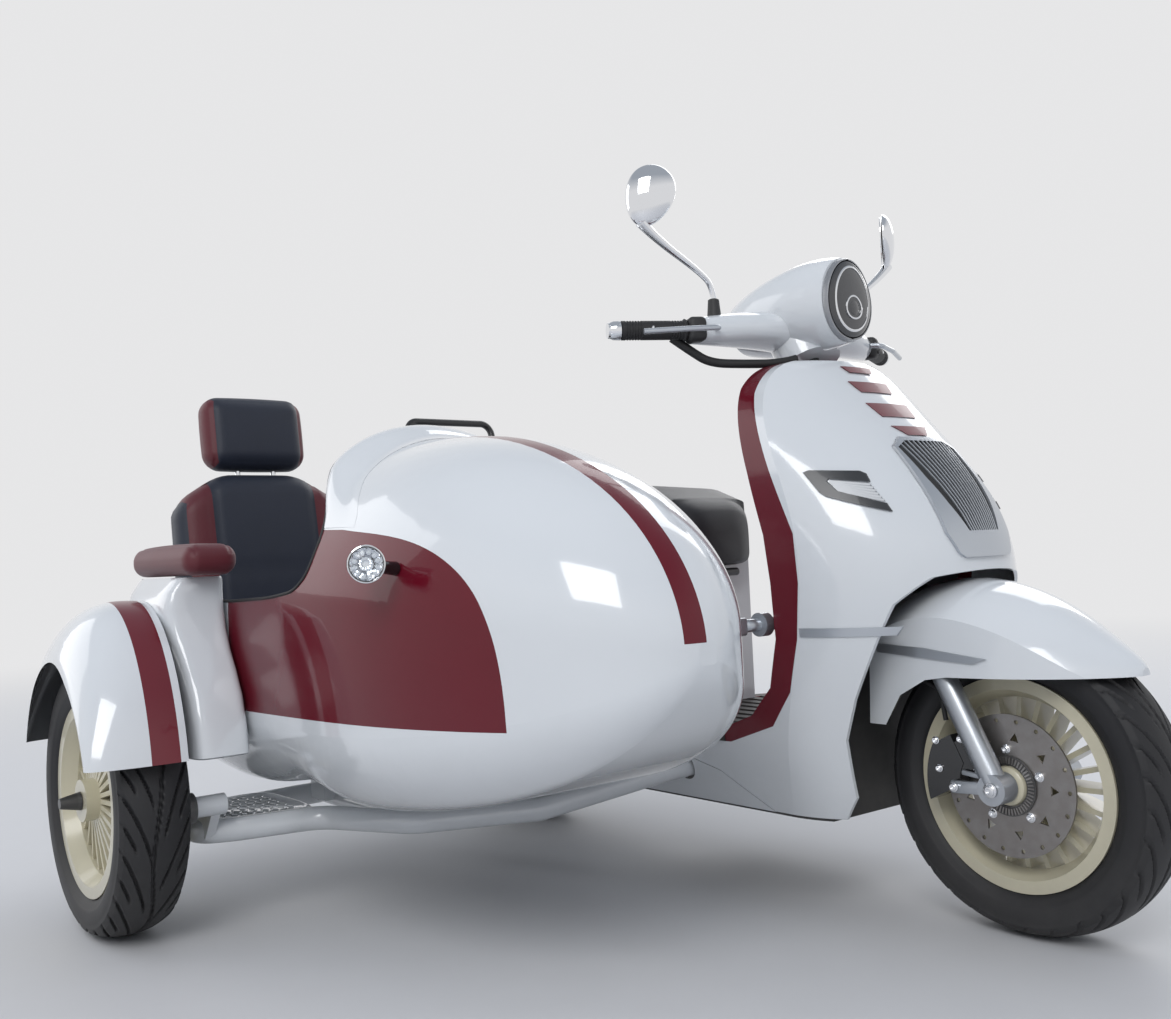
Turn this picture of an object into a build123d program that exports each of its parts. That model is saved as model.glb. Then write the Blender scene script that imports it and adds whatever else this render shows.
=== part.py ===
from build123d import *
import os
from math import cos, radians, sin, sqrt

os.makedirs("parts", exist_ok=True)

# Places, in millimetres: x is ahead of the front axle, y is left of the scooter's middle plane,
# and z is above the floor. The two values below put the middle of the whole vehicle at the origin.
front_axle_x = 728.0
scooter_y = 392.0

# Wheels and tyres, the same size on all three wheels
wheel_radius = 236.0
tyre_width = 118.0
bead_radius = 152.4
flange_radius = 166.0
flange_thickness = 5.0
rim_inner_width = 89.0
rim_wall = 6.0
well_radius = 139.0
well_half_width = 20.0
hub_radius = 36.0
hub_half_length = 56.0
spoke_count = 24
spoke_thickness = 8.0
spoke_outer_half_depth = 20.0
spoke_inner_half_depth = 34.0
axle_radius = 7.5
bore_clearance = 0.3
wheelbase = 1350.0
sidecar_wheel_x = -1115.0
sidecar_wheel_y = -1067.0

# Front brake disc
disc_radius = 110.0
disc_inner_radius = 62.0
disc_thickness = 4.0
disc_hole_radius = 3.5
disc_holes = 18

# Steering: the axis leans back by rake and meets the floor trail ahead of the front axle
rake = radians(27.0)
trail = 85.0
leg_y = 92.0
leg_radius = 19.0
leg_top = 262.0
stem_radius = 15.0
stem_clearance = 0.5
stem_top = 990.0
head_tube_radius = 26.0
head_tube_low = 620.0
head_tube_high = 880.0
yoke_height = 28.0
yoke_depth = 60.0

# Front fender
fender_wall = 4.0
fender_floor = 300.0
fender_hem = 407.0
fender_skirt_z = 322.0
fender_round = 58.0

# Leg shield and floor
shield_wall = 5.0
floor_top = 308.0
floor_thickness = 24.0
rib_count = 9
rib_pitch = 42.0
groove_width = 18.0
groove_length = 230.0
groove_depth = 4.0

# Rear body, saddle and rack
body_wall = 5.0
bucket_x = -1050.0
bucket_length = 320.0
bucket_width = 190.0
bucket_floor = 528.0
bucket_depth = 176.0
bucket_wall = 5.0

# Sidecar tub
tub_y = -610.0
tub_nose_x = -78.0
tub_half_length = 622.0
tub_half_width = 288.0
tub_wall = 6.0
tub_floor_z = 300.0

# Sidecar running gear
frame_tube_radius = 21.0
loop_z = 168.0
loop_bend = 70.0
rail_y = 112.0
rail_radius = 15.0
down_tube_radius = 22.0
front_cross_radius = 18.0
cross_tube_radius = 12.0
rail_end_x = -1530.0
rail_end_z = 575.0
rack_radius = 9.0
rack_bar_radius = 8.0
rack_leg = [
    (-1526, 112, 590.4), (-1526, 112, 630), (-1562, 119, 712), (-1640, 130, 850), (-1675, 130, 990)]
seat_gap = 0.3
engine_top = 420.0
rail_side_y = -rail_y - rail_radius - seat_gap
loop_path = [
    (-575, rail_side_y, 226), (-575, -235, 226), (-702, -449, loop_z), (-790, -660, loop_z),
    (-960, -750, loop_z),
    (-1000, -950, loop_z), (-1160, -950, loop_z), (-1190, -700, loop_z), (-1190, -330, loop_z),
    (-790, -235, 226), (-790, rail_side_y, 226)]
strut_radius = 11.0
strut_path = [(-378, -22.4, 492), (-378, -110, 492), (-335, -200, 491), (-345, -262, 490), (-470, -331, 484)]


def side(y=0.0):
    """The side view at y: local x runs forward from the front axle and local y runs up."""
    return Plane((front_axle_x, scooter_y + y, 0), x_dir=(1, 0, 0), z_dir=(0, -1, 0))


def level(z=0.0):
    """The plan view at height z: local x runs forward and local y runs left."""
    return Plane((front_axle_x, scooter_y, z), x_dir=(1, 0, 0), z_dir=(0, 0, 1))


def station(x=0.0):
    """The cross section at x: local x runs left and local y runs up."""
    return Plane((front_axle_x + x, scooter_y, 0), x_dir=(0, 1, 0), z_dir=(1, 0, 0))


def at(x, y, z):
    """A point of the vehicle in the part's own frame."""
    return Vector(front_axle_x + x, scooter_y + y, z)


def across(x, z):
    """The left-right line through x and z, such as an axle's."""
    return Axis(at(x, 0, z), (0, 1, 0))


steering = Plane(at(trail, 0, 0), x_dir=(cos(rake), 0, sin(rake)), z_dir=(-sin(rake), 0, cos(rake)))
axle_lead = wheel_radius * sin(rake) - trail * cos(rake)
axle_height = wheel_radius * cos(rake) + trail * sin(rake)


def tube(points, radius, bend):
    """A round bar along straight runs joined by arcs."""
    with BuildPart() as bar:
        with BuildLine() as path:
            if len(points) > 2:
                FilletPolyline(*[at(*p) for p in points], radius=bend)
            else:
                Line(at(*points[0]), at(*points[1]))
        with BuildSketch(Plane(path.line @ 0, z_dir=path.line % 0)):
            Circle(radius)
        sweep(path=path.line)
    return bar.part


def arch(half_width, top, bottom, wall_height):
    """An upside-down U with straight walls and a round top, on a cross section."""
    with BuildSketch() as face:
        with BuildLine():
            Line((-half_width, bottom), (half_width, bottom))
            Line((half_width, bottom), (half_width, bottom + wall_height))
            ThreePointArc((half_width, bottom + wall_height), (0, top), (-half_width, bottom + wall_height))
            Line((-half_width, bottom + wall_height), (-half_width, bottom))
        make_face()
    return face.sketch


def profile(plane, points, depth, both=True):
    """A straight-sided block with an outline drawn on a plane, used to cut panels to their shape."""
    with BuildPart() as block:
        with BuildSketch(plane):
            with BuildLine():
                Polyline(*points, close=True)
            make_face()
        extrude(amount=depth, both=both)
    return block.part


def make_tyre():
    """A tyre from bead to crown about a wheel's middle, with the axle along y."""
    half = rim_inner_width / 2
    shoulder = tyre_width * 0.44
    with BuildPart() as tyre:
        with BuildSketch(Plane.YZ):
            with BuildLine():
                Polyline((-half, flange_radius), (-half, bead_radius),
                         (half, bead_radius), (half, flange_radius))
                ThreePointArc((half, flange_radius), (tyre_width / 2, wheel_radius * 0.85),
                              (shoulder, wheel_radius * 0.945))
                ThreePointArc((shoulder, wheel_radius * 0.945), (0, wheel_radius),
                              (-shoulder, wheel_radius * 0.945))
                ThreePointArc((-shoulder, wheel_radius * 0.945), (-tyre_width / 2, wheel_radius * 0.85),
                              (-half, flange_radius))
            make_face()
        revolve(axis=Axis.Y)
    return tyre.part


def make_rim():
    """A cast wheel about its middle: rim barrel, hub and a ring of thin spokes."""
    half = rim_inner_width / 2
    edge = half + flange_thickness
    inner = bead_radius - rim_wall
    well = well_radius - rim_wall
    with BuildPart() as barrel:
        with BuildSketch(Plane.YZ):
            with BuildLine():
                Polyline((-edge, flange_radius), (-half, flange_radius), (-half, bead_radius),
                         (-well_half_width - 8, bead_radius), (-well_half_width, well_radius),
                         (well_half_width, well_radius), (well_half_width + 8, bead_radius),
                         (half, bead_radius), (half, flange_radius), (edge, flange_radius),
                         (edge, inner), (well_half_width + 4, well),
                         (-well_half_width - 4, well), (-edge, inner), close=True)
            make_face()
        revolve(axis=Axis.Y)
        with BuildSketch(Plane.YZ):
            with Locations((0, (hub_radius + axle_radius + bore_clearance) / 2)):
                Rectangle(2 * hub_half_length, hub_radius - axle_radius - bore_clearance)
        revolve(axis=Axis.Y)
    with BuildPart() as spoke:
        with BuildSketch(Plane.YZ):
            with BuildLine():
                Polyline((-spoke_inner_half_depth, hub_radius - 4), (spoke_inner_half_depth, hub_radius - 4),
                         (spoke_outer_half_depth, well + 1), (-spoke_outer_half_depth, well + 1), close=True)
            make_face()
        extrude(amount=spoke_thickness / 2, both=True)
    with BuildPart() as wheel:
        add(barrel.part)
        add([spoke.part.rotate(Axis.Y, 360 / spoke_count * i) for i in range(spoke_count)])
    return wheel.part


wheels = {
    "front": (0.0, 0.0),
    "rear": (-wheelbase, 0.0),
    "sidecar": (sidecar_wheel_x, sidecar_wheel_y),
}
made = []


def keep(part, name):
    """Names a finished piece and writes it."""
    part.label = name
    export_step(part, "parts/" + name + ".step")
    made.append(part)


tyre_shape = make_tyre()
rim_shape = make_rim()
for name, (x, y) in wheels.items():
    keep(Pos(at(x, y, wheel_radius)) * tyre_shape, name + "_tyre")
    keep(Pos(at(x, y, wheel_radius)) * rim_shape, name + "_rim")

# Front brake disc, on the right-hand end of the front hub
disc_y = -hub_half_length - disc_thickness
with BuildPart() as brake_disc:
    with BuildSketch(side(disc_y + disc_thickness)):
        with Locations((0, wheel_radius)):
            Circle(disc_radius)
            Circle(axle_radius + 12, mode=Mode.SUBTRACT)
            with PolarLocations(disc_inner_radius + 12, 9):
                RegularPolygon(9, 3, mode=Mode.SUBTRACT)
            with PolarLocations(disc_radius - 10, disc_holes):
                Circle(disc_hole_radius, mode=Mode.SUBTRACT)
    extrude(amount=disc_thickness)
keep(brake_disc.part, "brake_disc")

# Fork: two legs joined by the axle at their feet
with BuildPart() as fork:
    for hand in (-1, 1):
        with BuildSketch(steering.offset(axle_height)):
            with Locations((axle_lead, hand * leg_y)):
                Circle(leg_radius)
        extrude(amount=leg_top)
    for hand in (-1, 1):
        with BuildSketch(side(hand * leg_y)):
            with Locations((0, wheel_radius)):
                Circle(leg_radius + 5)
        extrude(amount=leg_radius - 1, both=True)
    with BuildSketch(side(leg_y)):
        with Locations((0, wheel_radius)):
            Circle(axle_radius)
    extrude(amount=2 * leg_y)
keep(fork.part, "fork")

yoke_low = axle_height + leg_top
with BuildPart() as steering_yoke:
    with BuildSketch(steering.offset(yoke_low)):
        with Locations((axle_lead, leg_y), (axle_lead, -leg_y)):
            Circle(leg_radius + 1)
        with Locations((axle_lead / 2, 0)):
            Rectangle(yoke_depth, 2 * leg_y)
    extrude(amount=yoke_height)
    with BuildSketch(steering.offset(yoke_low + yoke_height)):
        Circle(stem_radius)
    extrude(amount=stem_top / cos(rake) - yoke_low - yoke_height)
keep(steering_yoke.part, "steering_yoke")

# Front fender: stations along x, each with its half width and top height
fender_stations = [
    (196.0, 10.0, 421.0),
    (178.0, 42.0, 440.0),
    (130.0, 80.0, 475.0),
    (60.0, 110.0, 518.0),
    (-20.0, 122.0, 548.0),
    (-100.0, 122.0, 556.0),
    (-190.0, 120.0, 530.0),
    (-262.0, 112.0, 470.0),
]


def fender_form(inset, drop):
    """The fender's outer form, shrunk by inset, with its open underside lowered by drop."""
    with BuildPart() as form:
        for x, half_width, top in fender_stations:
            spring = top - min(half_width, fender_round)
            with BuildSketch(station(x - inset)):
                add(arch(half_width - inset, top - inset, fender_floor - drop, spring - fender_floor + drop))
        loft()
    return form.part


fender_outside = fender_form(0, 0)
fender_inside = fender_form(fender_wall, 10)
fender_trim = profile(side(), [
    (230, fender_floor - 60), (230, fender_hem + 3), (-60, fender_hem - 2), (-100, fender_hem - 8),
    (-150, 372), (-182, fender_skirt_z), (-215, fender_skirt_z), (-200, 600), (-300, 600),
    (-300, fender_floor - 60)], 200)
with BuildPart() as fender_web:
    with BuildSketch(steering.offset(yoke_low + yoke_height)):
        with Locations((axle_lead / 2, 0)):
            Rectangle(yoke_depth, 300)
    extrude(amount=fender_wall)
    add(fender_inside, mode=Mode.INTERSECT)
with BuildPart() as front_fender:
    add(fender_outside)
    add(fender_inside, mode=Mode.SUBTRACT)
    add(fender_trim, mode=Mode.SUBTRACT)
    add(fender_web.part)
    with BuildSketch(steering.offset(yoke_low)):
        Circle(stem_radius + 8)
    extrude(amount=300, mode=Mode.SUBTRACT)
keep(front_fender.part, "front_fender")

# Silver strips, one on each flank of the fender, with a pointed front end
strip_seat = 0.3
with BuildPart() as fender_strips:
    add(fender_form(-3, 0))
    add(fender_form(-strip_seat, 10), mode=Mode.SUBTRACT)
    add(profile(side(), [(12, 436), (-10, 428), (-190, 440), (-190, 454), (-100, 450)], 200),
        mode=Mode.INTERSECT)
keep(fender_strips.part, "fender_strips")

# Leg shield: plan sections, each with its height, its front point on the middle plane,
# the x where its round front meets the side walls, and the half width of those walls
shield_back = -760.0
shield_sections = [
    (150.0, -155.0, -335.0, 184.0),
    (300.0, -110.0, -300.0, 226.0),
    (467.0, -60.0, -257.0, 240.0),
    (632.0, -62.0, -248.0, 243.0),
    (788.0, -168.0, -300.0, 236.0),
    (894.0, -268.0, -340.0, 196.0),
    (946.0, -314.0, -350.0, 110.0),
]


def shield_form(inset):
    """The leg shield's outer form, shrunk by inset."""
    with BuildPart() as form:
        for z, front, corner, half in shield_sections:
            w = half - inset
            with BuildSketch(level(z)):
                with BuildLine():
                    Polyline((corner, -w), (shield_back - inset, -w), (shield_back - inset, w), (corner, w))
                    ThreePointArc((corner, w), (front - inset, 0), (corner, -w))
                make_face()
        loft()
    return form.part


shield_top = shield_sections[-1][0]
shield_outside = shield_form(0)
with BuildPart() as shield_hollow:
    add(shield_form(shield_wall))
    add(profile(side(), [(-900, 0), (300, 0), (300, shield_top - shield_wall),
                         (-900, shield_top - shield_wall)], 400), mode=Mode.INTERSECT)
shield_inside = shield_hollow.part

# The seam between the outer and the inner shield, from the top down to the floor's border
seam = [(-372, 960), (-360, 886), (-300, 746), (-252, 640), (-247, 560), (-257, 467), (-282, 380),
        (-330, 320), (-437, 284)]
seam_low = [(-575, 281), (-560, 247), (-480, 228), (-370, 167)]
arch_edge = [(-238, 167), (-215, 205), (-209, 302), (-185, 370), (-142, 466), (-118, 520),
             (-80, 560), (-30, 575)]
shield_trim = profile(side(), seam + seam_low + arch_edge + [(40, 575), (40, 960)], 300)
with BuildPart() as leg_shield:
    add(shield_outside)
    add(shield_trim, mode=Mode.INTERSECT)
    add(shield_inside, mode=Mode.SUBTRACT)
    with BuildSketch(steering.offset(900 / cos(rake))):
        Circle(stem_radius + 9)
    extrude(amount=300, mode=Mode.SUBTRACT)
keep(leg_shield.part, "leg_shield")

panel_gap = 0.3
spine_half_width = 110.0
spine_wall = 7.0
inner_rear = [
    (-402, 900), (-350, 746), (-318, 640), (-308, 560), (-304, 467), (-326, 385), (-376, 335),
    (-450, floor_top)]
inner_outline = ([(-372 - panel_gap, 960)] + [(x - panel_gap, z) for x, z in seam[1:]]
                 + [(-450, floor_top - floor_thickness)] + inner_rear[::-1] + [(-405, 960)])
inner_front = ([(-330, 940)] + [(x + 14, z) for x, z in seam[1:]] + [(-437, 270), (-470, 270), (-470, 296)]
               + [(x + 10, z - 4) for x, z in inner_rear[::-1]] + [(-395, 940)])
spine_outline = [(-296, 308.3), (-430, 308.3), (-424, 400), (-418, 640), (-412, 780), (-350, 820)]
with BuildPart() as inner_shield:
    add(shield_outside)
    add(profile(side(), inner_outline, 300), mode=Mode.INTERSECT)
    with BuildPart(mode=Mode.PRIVATE) as pocket:
        add(shield_inside)
        add(profile(side(), inner_front, 300), mode=Mode.INTERSECT)
    add(pocket.part, mode=Mode.SUBTRACT)
    add(profile(side(), spine_outline, spine_half_width))
    add(profile(side(), [(-230, 250), (-430 + spine_wall, 250), (-424 + spine_wall, 400),
                         (-418 + spine_wall, 640), (-412 + spine_wall, 770), (-340, 810), (-310, 812)],
                spine_half_width - spine_wall), mode=Mode.SUBTRACT)
    with BuildSketch(steering.offset(640 / cos(rake))):
        Circle(head_tube_radius + 2)
    extrude(amount=500, mode=Mode.SUBTRACT)
    add(tube(strut_path[:3], strut_radius + 2, 25), mode=Mode.SUBTRACT)
keep(inner_shield.part, "inner_shield")

# Nose trim follows the shield's own curve: each piece is cut from a thin shell over its round front


def nose_shell(seat, thickness):
    """A shell over the leg shield's round front, seat away from it."""
    with BuildPart() as shell:
        for z, front, corner, half in shield_sections:
            with BuildSketch(level(z)):
                with BuildLine():
                    ThreePointArc((corner, -half - seat), (front + seat, 0), (corner, half + seat))
                    Line((corner, half + seat), (corner, half + thickness))
                    ThreePointArc((corner, half + thickness), (front + thickness, 0),
                                  (corner, -half - thickness))
                    Line((corner, -half - thickness), (corner, -half - seat))
                make_face()
        loft()
    return shell.part


trim_thickness = 2.5
surround_seat = 0.8
surround_thickness = 6.5
slat_seat = 1.0
slat_thickness = 3.0
trim_shell = nose_shell(strip_seat, trim_thickness)
surround_shell = nose_shell(surround_seat, surround_thickness)
slat_shell = nose_shell(slat_seat, slat_thickness)


def nose_trim(shell, outline, plane, depth):
    """The part of a shell inside an outline drawn on a plane."""
    with BuildPart() as trim:
        add(shell)
        add(profile(plane, outline, depth, both=False), mode=Mode.INTERSECT)
    return trim.part


front_view = station(-400)
nose_depth = 500.0
grille_right = [(40, 632), (58, 677), (70, 722), (76, 776), (52, 788)]
grille_outline = grille_right + [(-y, z) for y, z in grille_right[::-1]]
surround_right = [(60, 590), (70, 597), (84, 630), (86, 677), (85, 722), (82, 778), (55, 795)]
surround_outline = surround_right + [(-y, z) for y, z in surround_right[::-1]]
with BuildPart() as grille:
    add(nose_trim(trim_shell, grille_outline, front_view, nose_depth))
keep(grille.part, "grille")

# The grille's bars fan out upward. They follow the nose line, given as the height and the place of the
# shield's front on the middle plane, and fall back from it to either side with the shield's round plan
nose_line = [
    (628.0, -60.4), (660.0, -73.6), (685.0, -87.1), (710.0, -103.4), (735.0, -122.1), (760.0, -142.9),
    (791.0, -170.5)]
nose_radius = 250.0
bar_count = 13
bar_width = 2.2
bar_seat = 3.9
bar_height = 2.6
bar_top_spread = 132.0
bar_bottom_spread = 66.0
with BuildPart() as grille_bars:
    for i in range(bar_count):
        u = i / (bar_count - 1) - 0.5
        top = Vector(0, bar_top_spread * u, nose_line[-1][0])
        foot = Vector(0, bar_bottom_spread * u, nose_line[0][0])
        run = top - foot
        under = []
        for z, x in nose_line:
            part_way = (z - foot.Z) / run.Z
            y = foot.Y + run.Y * part_way
            fall = nose_radius - sqrt(nose_radius ** 2 - y ** 2)
            under.append((run.length * part_way, x - fall + bar_seat))
        with BuildSketch(Plane(at(0, foot.Y, foot.Z), x_dir=run, z_dir=run.cross(Vector(1, 0, 0)))):
            with BuildLine():
                Polyline(*under, *[(along, x + bar_height) for along, x in under[::-1]], close=True)
            make_face()
        extrude(amount=bar_width / 2, both=True)
with BuildPart() as grille_surround:
    add(nose_trim(surround_shell, surround_outline, front_view, nose_depth))
    add(profile(front_view, grille_outline, nose_depth, both=False), mode=Mode.SUBTRACT)
    add(grille_bars.part)
keep(grille_surround.part, "grille_surround")

winker_outline = [(-242, 739), (-235, 742), (-176, 737), (-168, 732), (-159, 718), (-206, 726), (-208, 722),
                  (-191, 705), (-133, 682), (-124, 668), (-203, 697), (-213, 704)]
with BuildPart() as front_winkers:
    add(nose_trim(trim_shell, winker_outline, side(-60), 300))
    add(front_winkers.part.mirror(Plane.XZ.offset(-scooter_y)))
keep(front_winkers.part, "front_winkers")

with BuildPart() as side_trims:
    add(nose_trim(trim_shell, [(-250, 486), (-110, 486), (-118, 472), (-250, 472)], side(-60), 300))
    add(side_trims.part.mirror(Plane.XZ.offset(-scooter_y)))
keep(side_trims.part, "side_trims")

# Dark red slats up the nose, above the grille
slats = [
    # low edge's height, half width at the foot, half width at the top, height
    (799.0, 26.0, 46.0, 17.0),
    (834.0, 46.0, 55.0, 26.0),
    (882.0, 42.0, 52.0, 21.0),
    (922.0, 30.0, 40.0, 12.0),
]
with BuildPart() as slat_blocks:
    for z, foot_half, top_half, height in slats:
        slat = [(-top_half, z + height), (top_half, z + height), (foot_half, z), (-foot_half, z)]
        add(profile(front_view, slat, nose_depth, both=False))
with BuildPart() as nose_slats:
    add(slat_shell)
    add(slat_blocks.part, mode=Mode.INTERSECT)
keep(nose_slats.part, "nose_slats")

# Floor and the panels under it
with BuildPart() as floorboard:
    with BuildSketch(level(floor_top - floor_thickness)):
        with BuildLine():
            Polyline((-450.3, -226), (-450.3, 226), (-700, 222), (-742, 150), (-742, -150), (-700, -222),
                     close=True)
        make_face()
    extrude(amount=floor_thickness)
    with BuildSketch(level(floor_top)):
        for i in range(rib_count):
            with Locations((-590, (i - (rib_count - 1) / 2) * rib_pitch)):
                Rectangle(groove_length, groove_width)
    extrude(amount=-groove_depth, mode=Mode.SUBTRACT)
keep(floorboard.part, "floorboard")

skirt_outline = [(-576, 280.5), (-742, 280.5), (-742, 166), (-371, 166), (-480, 227), (-561, 246)]
with BuildPart() as floor_skirts:
    add(shield_outside)
    add(profile(side(), skirt_outline, 300), mode=Mode.INTERSECT)
    add(shield_inside, mode=Mode.SUBTRACT)
    add(tube(loop_path[:3], frame_tube_radius + 5, loop_bend), mode=Mode.SUBTRACT)
keep(floor_skirts.part, "floor_skirts")

# The under tray: a flat pan below the floor that turns up behind the front wheel
tray_wall = 4.0
tray_line = [(-275, 600), (-283, 540), (-281, 440), (-266, 310), (-266, 165), (-760, 165)]
with BuildPart() as under_tray:
    with BuildSketch(side()):
        with BuildLine():
            Polyline(*tray_line, (-760, 165 - tray_wall), (-262, 165 - tray_wall), (-262, 310), (-277, 440),
                     (-279, 540), (-271, 600), close=True)
        make_face()
    extrude(amount=300, both=True)
    add(shield_form(shield_wall + 0.3), mode=Mode.INTERSECT)
keep(under_tray.part, "under_tray")

# Frame: head tube, down tube and twin rails back to the tail
with BuildPart() as frame:
    with BuildSketch(steering.offset(head_tube_low / cos(rake))):
        Circle(head_tube_radius)
    extrude(amount=(head_tube_high - head_tube_low) / cos(rake))
    add(tube([(-314, 0, 740), (-378, 0, 600), (-378, 0, 226)], down_tube_radius, 60))
    add(tube([(-378, -rail_y, 226), (-378, rail_y, 226)], front_cross_radius, 0))
    for hand in (-1, 1):
        add(tube([(-378, hand * rail_y, 226), (-800, hand * rail_y, 226), (-930, hand * rail_y, 500),
                  (rail_end_x, hand * rail_y, rail_end_z)], rail_radius, 90))
    for x, z in ((-800, 226), (-940, 501), (-1450, 565)):
        add(tube([(x, -rail_y, z), (x, rail_y, z)], cross_tube_radius, 0))
    for hand in (-1, 1):
        add(tube([(-1100, hand * rail_y, 521), (-1100, hand * 184.7, 521)], 8, 0))
        add(tube([(-940, hand * 60, 501), (-940, hand * 60, engine_top + seat_gap)], 10, 0))
    with BuildSketch(steering.offset(head_tube_low / cos(rake) - 20)):
        Circle(stem_radius + stem_clearance)
    extrude(amount=400, mode=Mode.SUBTRACT)
keep(frame.part, "frame")

# Rear body: stations along x, each with its half width and top height
body_stations = [
    (-700.0, 112.0, 690.0),
    (-760.0, 150.0, 698.0),
    (-900.0, 176.0, 704.0),
    (-1100.0, 190.0, 708.0),
    (-1300.0, 184.0, 716.0),
    (-1460.0, 152.0, 730.0),
    (-1570.0, 106.0, 742.0),
    (-1610.0, 72.0, 744.0),
]
body_floor = 290.0


def body_form(inset, drop):
    """The rear body's outer form, shrunk by inset, with its open underside lowered by drop."""
    with BuildPart() as form:
        for i, (x, half_width, top) in enumerate(body_stations):
            shift = -inset if i == 0 else inset if i == len(body_stations) - 1 else 0
            with BuildSketch(station(x + shift)):
                add(arch(half_width - inset, top - inset, body_floor - drop, top - 40 - body_floor + drop))
        loft()
    return form.part


body_trim = profile(side(), [
    (-680, body_floor - 60), (-680, 308.3), (-750, 308.3), (-750, body_floor), (-860, body_floor + 10),
    (-1000, 400), (-1120, 500),
    (-1240, 545), (-1400, 560), (-1640, 610), (-1660, body_floor - 60)], 300)
with BuildPart() as rear_body:
    add(body_form(0, 0))
    add(body_form(body_wall, 10), mode=Mode.SUBTRACT)
    add(body_trim, mode=Mode.SUBTRACT)
    with BuildSketch(level(640)):
        with Locations((bucket_x, 0)):
            Rectangle(bucket_length, bucket_width)
    extrude(amount=150, mode=Mode.SUBTRACT)
    for hand in (-1, 1):
        add(tube([(x, hand * y, z) for x, y, z in rack_leg], rack_radius + 1.5, 30), mode=Mode.SUBTRACT)
keep(rear_body.part, "rear_body")

with BuildPart() as seat_bucket:
    with BuildSketch(level(bucket_floor)):
        with Locations((bucket_x, 0)):
            Rectangle(bucket_length - 1, bucket_width - 1)
    extrude(amount=bucket_depth)
    with BuildSketch(level(bucket_floor + bucket_wall)):
        with Locations((bucket_x, 0)):
            Rectangle(bucket_length - 1 - 2 * bucket_wall, bucket_width - 1 - 2 * bucket_wall)
    extrude(amount=bucket_depth, mode=Mode.SUBTRACT)
keep(seat_bucket.part, "seat_bucket")

# Saddle: stations along x, each with its half width, underside and top
saddle_stations = [
    (-699.0, 110.0, 700.0, 724.0),
    (-780.0, 132.0, 706.0, 752.0),
    (-950.0, 150.0, 711.0, 770.0),
    (-1130.0, 156.0, 716.0, 776.0),
    (-1300.0, 152.0, 725.0, 806.0),
    (-1460.0, 126.0, 738.0, 818.0),
    (-1550.0, 84.0, 750.0, 808.0),
]
saddle_nose_stations = [
    (-650.0, 46.0, 590.0, 664.0),
    (-668.0, 86.0, 584.0, 704.0),
    (-694.9, 109.0, 584.0, 722.0),
]
hinge_x = -676.0
hinge_z = 573.0
hinge_radius = 8.0
with BuildPart() as saddle:
    for x, half_width, low, top in saddle_stations:
        with BuildSketch(station(x)):
            add(arch(half_width, top, low, (top - low) * 0.55))
    loft()
    for x, half_width, low, top in saddle_nose_stations:
        with BuildSketch(station(x)):
            add(arch(half_width, top, low, (top - low) * 0.7))
    loft()
    with BuildSketch(station(-694.9)):
        add(arch(108, 721, 703, 10))
    extrude(amount=-20)
    with BuildSketch(side(50)):
        with Locations((hinge_x, hinge_z)):
            Circle(hinge_radius + 3)
            Circle(hinge_radius + 0.3, mode=Mode.SUBTRACT)
    extrude(amount=100)
    with BuildSketch(side(20)):
        with Locations((hinge_x, hinge_z)):
            Rectangle(2 * hinge_radius + 8, 2 * hinge_radius + 8)
    extrude(amount=40, mode=Mode.SUBTRACT)
keep(saddle.part, "saddle")
with BuildPart() as seat_hinge:
    with BuildSketch(side(52)):
        with Locations((hinge_x, hinge_z)):
            Circle(hinge_radius)
    extrude(amount=104)
    with BuildSketch(side(18)):
        with BuildLine():
            Polyline((hinge_x, hinge_z - 6), (hinge_x, hinge_z + 6), (-699.7, hinge_z - 4),
                     (-699.7, hinge_z - 30), close=True)
        make_face()
    extrude(amount=36)
keep(seat_hinge.part, "seat_hinge")

# Sidecar tub: round over the top, straight flanks and a flat belly, closing to a rounded nose
tub_tip_z = 482.0
tub_top = 832.0
tub_bottom = 232.0
tub_corner = 130.0
tub_tip_half_width = 60.0
tub_nose_steps = (-1.0, -16.0, -60.0, -140.0, -260.0, -420.0)
tub_stations = []
for step in tub_nose_steps:
    f = sqrt(1 - ((tub_half_length + step) / tub_half_length) ** 2)
    tub_stations.append((tub_nose_x + step, tub_half_width * f, tub_tip_z + (tub_top - tub_tip_z) * f,
                         tub_tip_z - (tub_tip_z - tub_bottom) * f, tub_corner * f))
tub_stations += [
    (-700.0, 288.0, 832.0, 232.0, 130.0),
    (-1000.0, 290.0, 832.0, 232.0, 130.0),
    (-1260.0, 284.0, 820.0, 238.0, 130.0),
    (-1440.0, 266.0, 790.0, 254.0, 125.0),
    (-1560.0, 230.0, 740.0, 284.0, 112.0),
    (-1620.0, 186.0, 690.0, 330.0, 90.0),
    (-1640.0, 150.0, 650.0, 362.0, 72.0),
]


def tub_form(inset):
    """The tub's outer form, shrunk by inset."""
    with BuildPart() as form:
        for i, (x, half_width, top, low, corner) in enumerate(tub_stations):
            shift = -inset if i < len(tub_nose_steps) else inset if i == len(tub_stations) - 1 else 0
            shrink = inset if half_width > tub_tip_half_width else 0
            w = half_width - shrink
            t = top - shrink
            b = low + shrink
            r = corner
            c = r * (1 - sqrt(0.5))
            with BuildSketch(station(x + shift)):
                with BuildLine():
                    ThreePointArc((tub_y - w, t - w), (tub_y, t), (tub_y + w, t - w))
                    Line((tub_y + w, t - w), (tub_y + w, b + r))
                    ThreePointArc((tub_y + w, b + r), (tub_y + w - c, b + c), (tub_y + w - r, b))
                    Line((tub_y + w - r, b), (tub_y - w + r, b))
                    ThreePointArc((tub_y - w + r, b), (tub_y - w + c, b + c), (tub_y - w, b + r))
                    Line((tub_y - w, b + r), (tub_y - w, t - w))
                make_face()
        loft()
    return form.part


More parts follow.
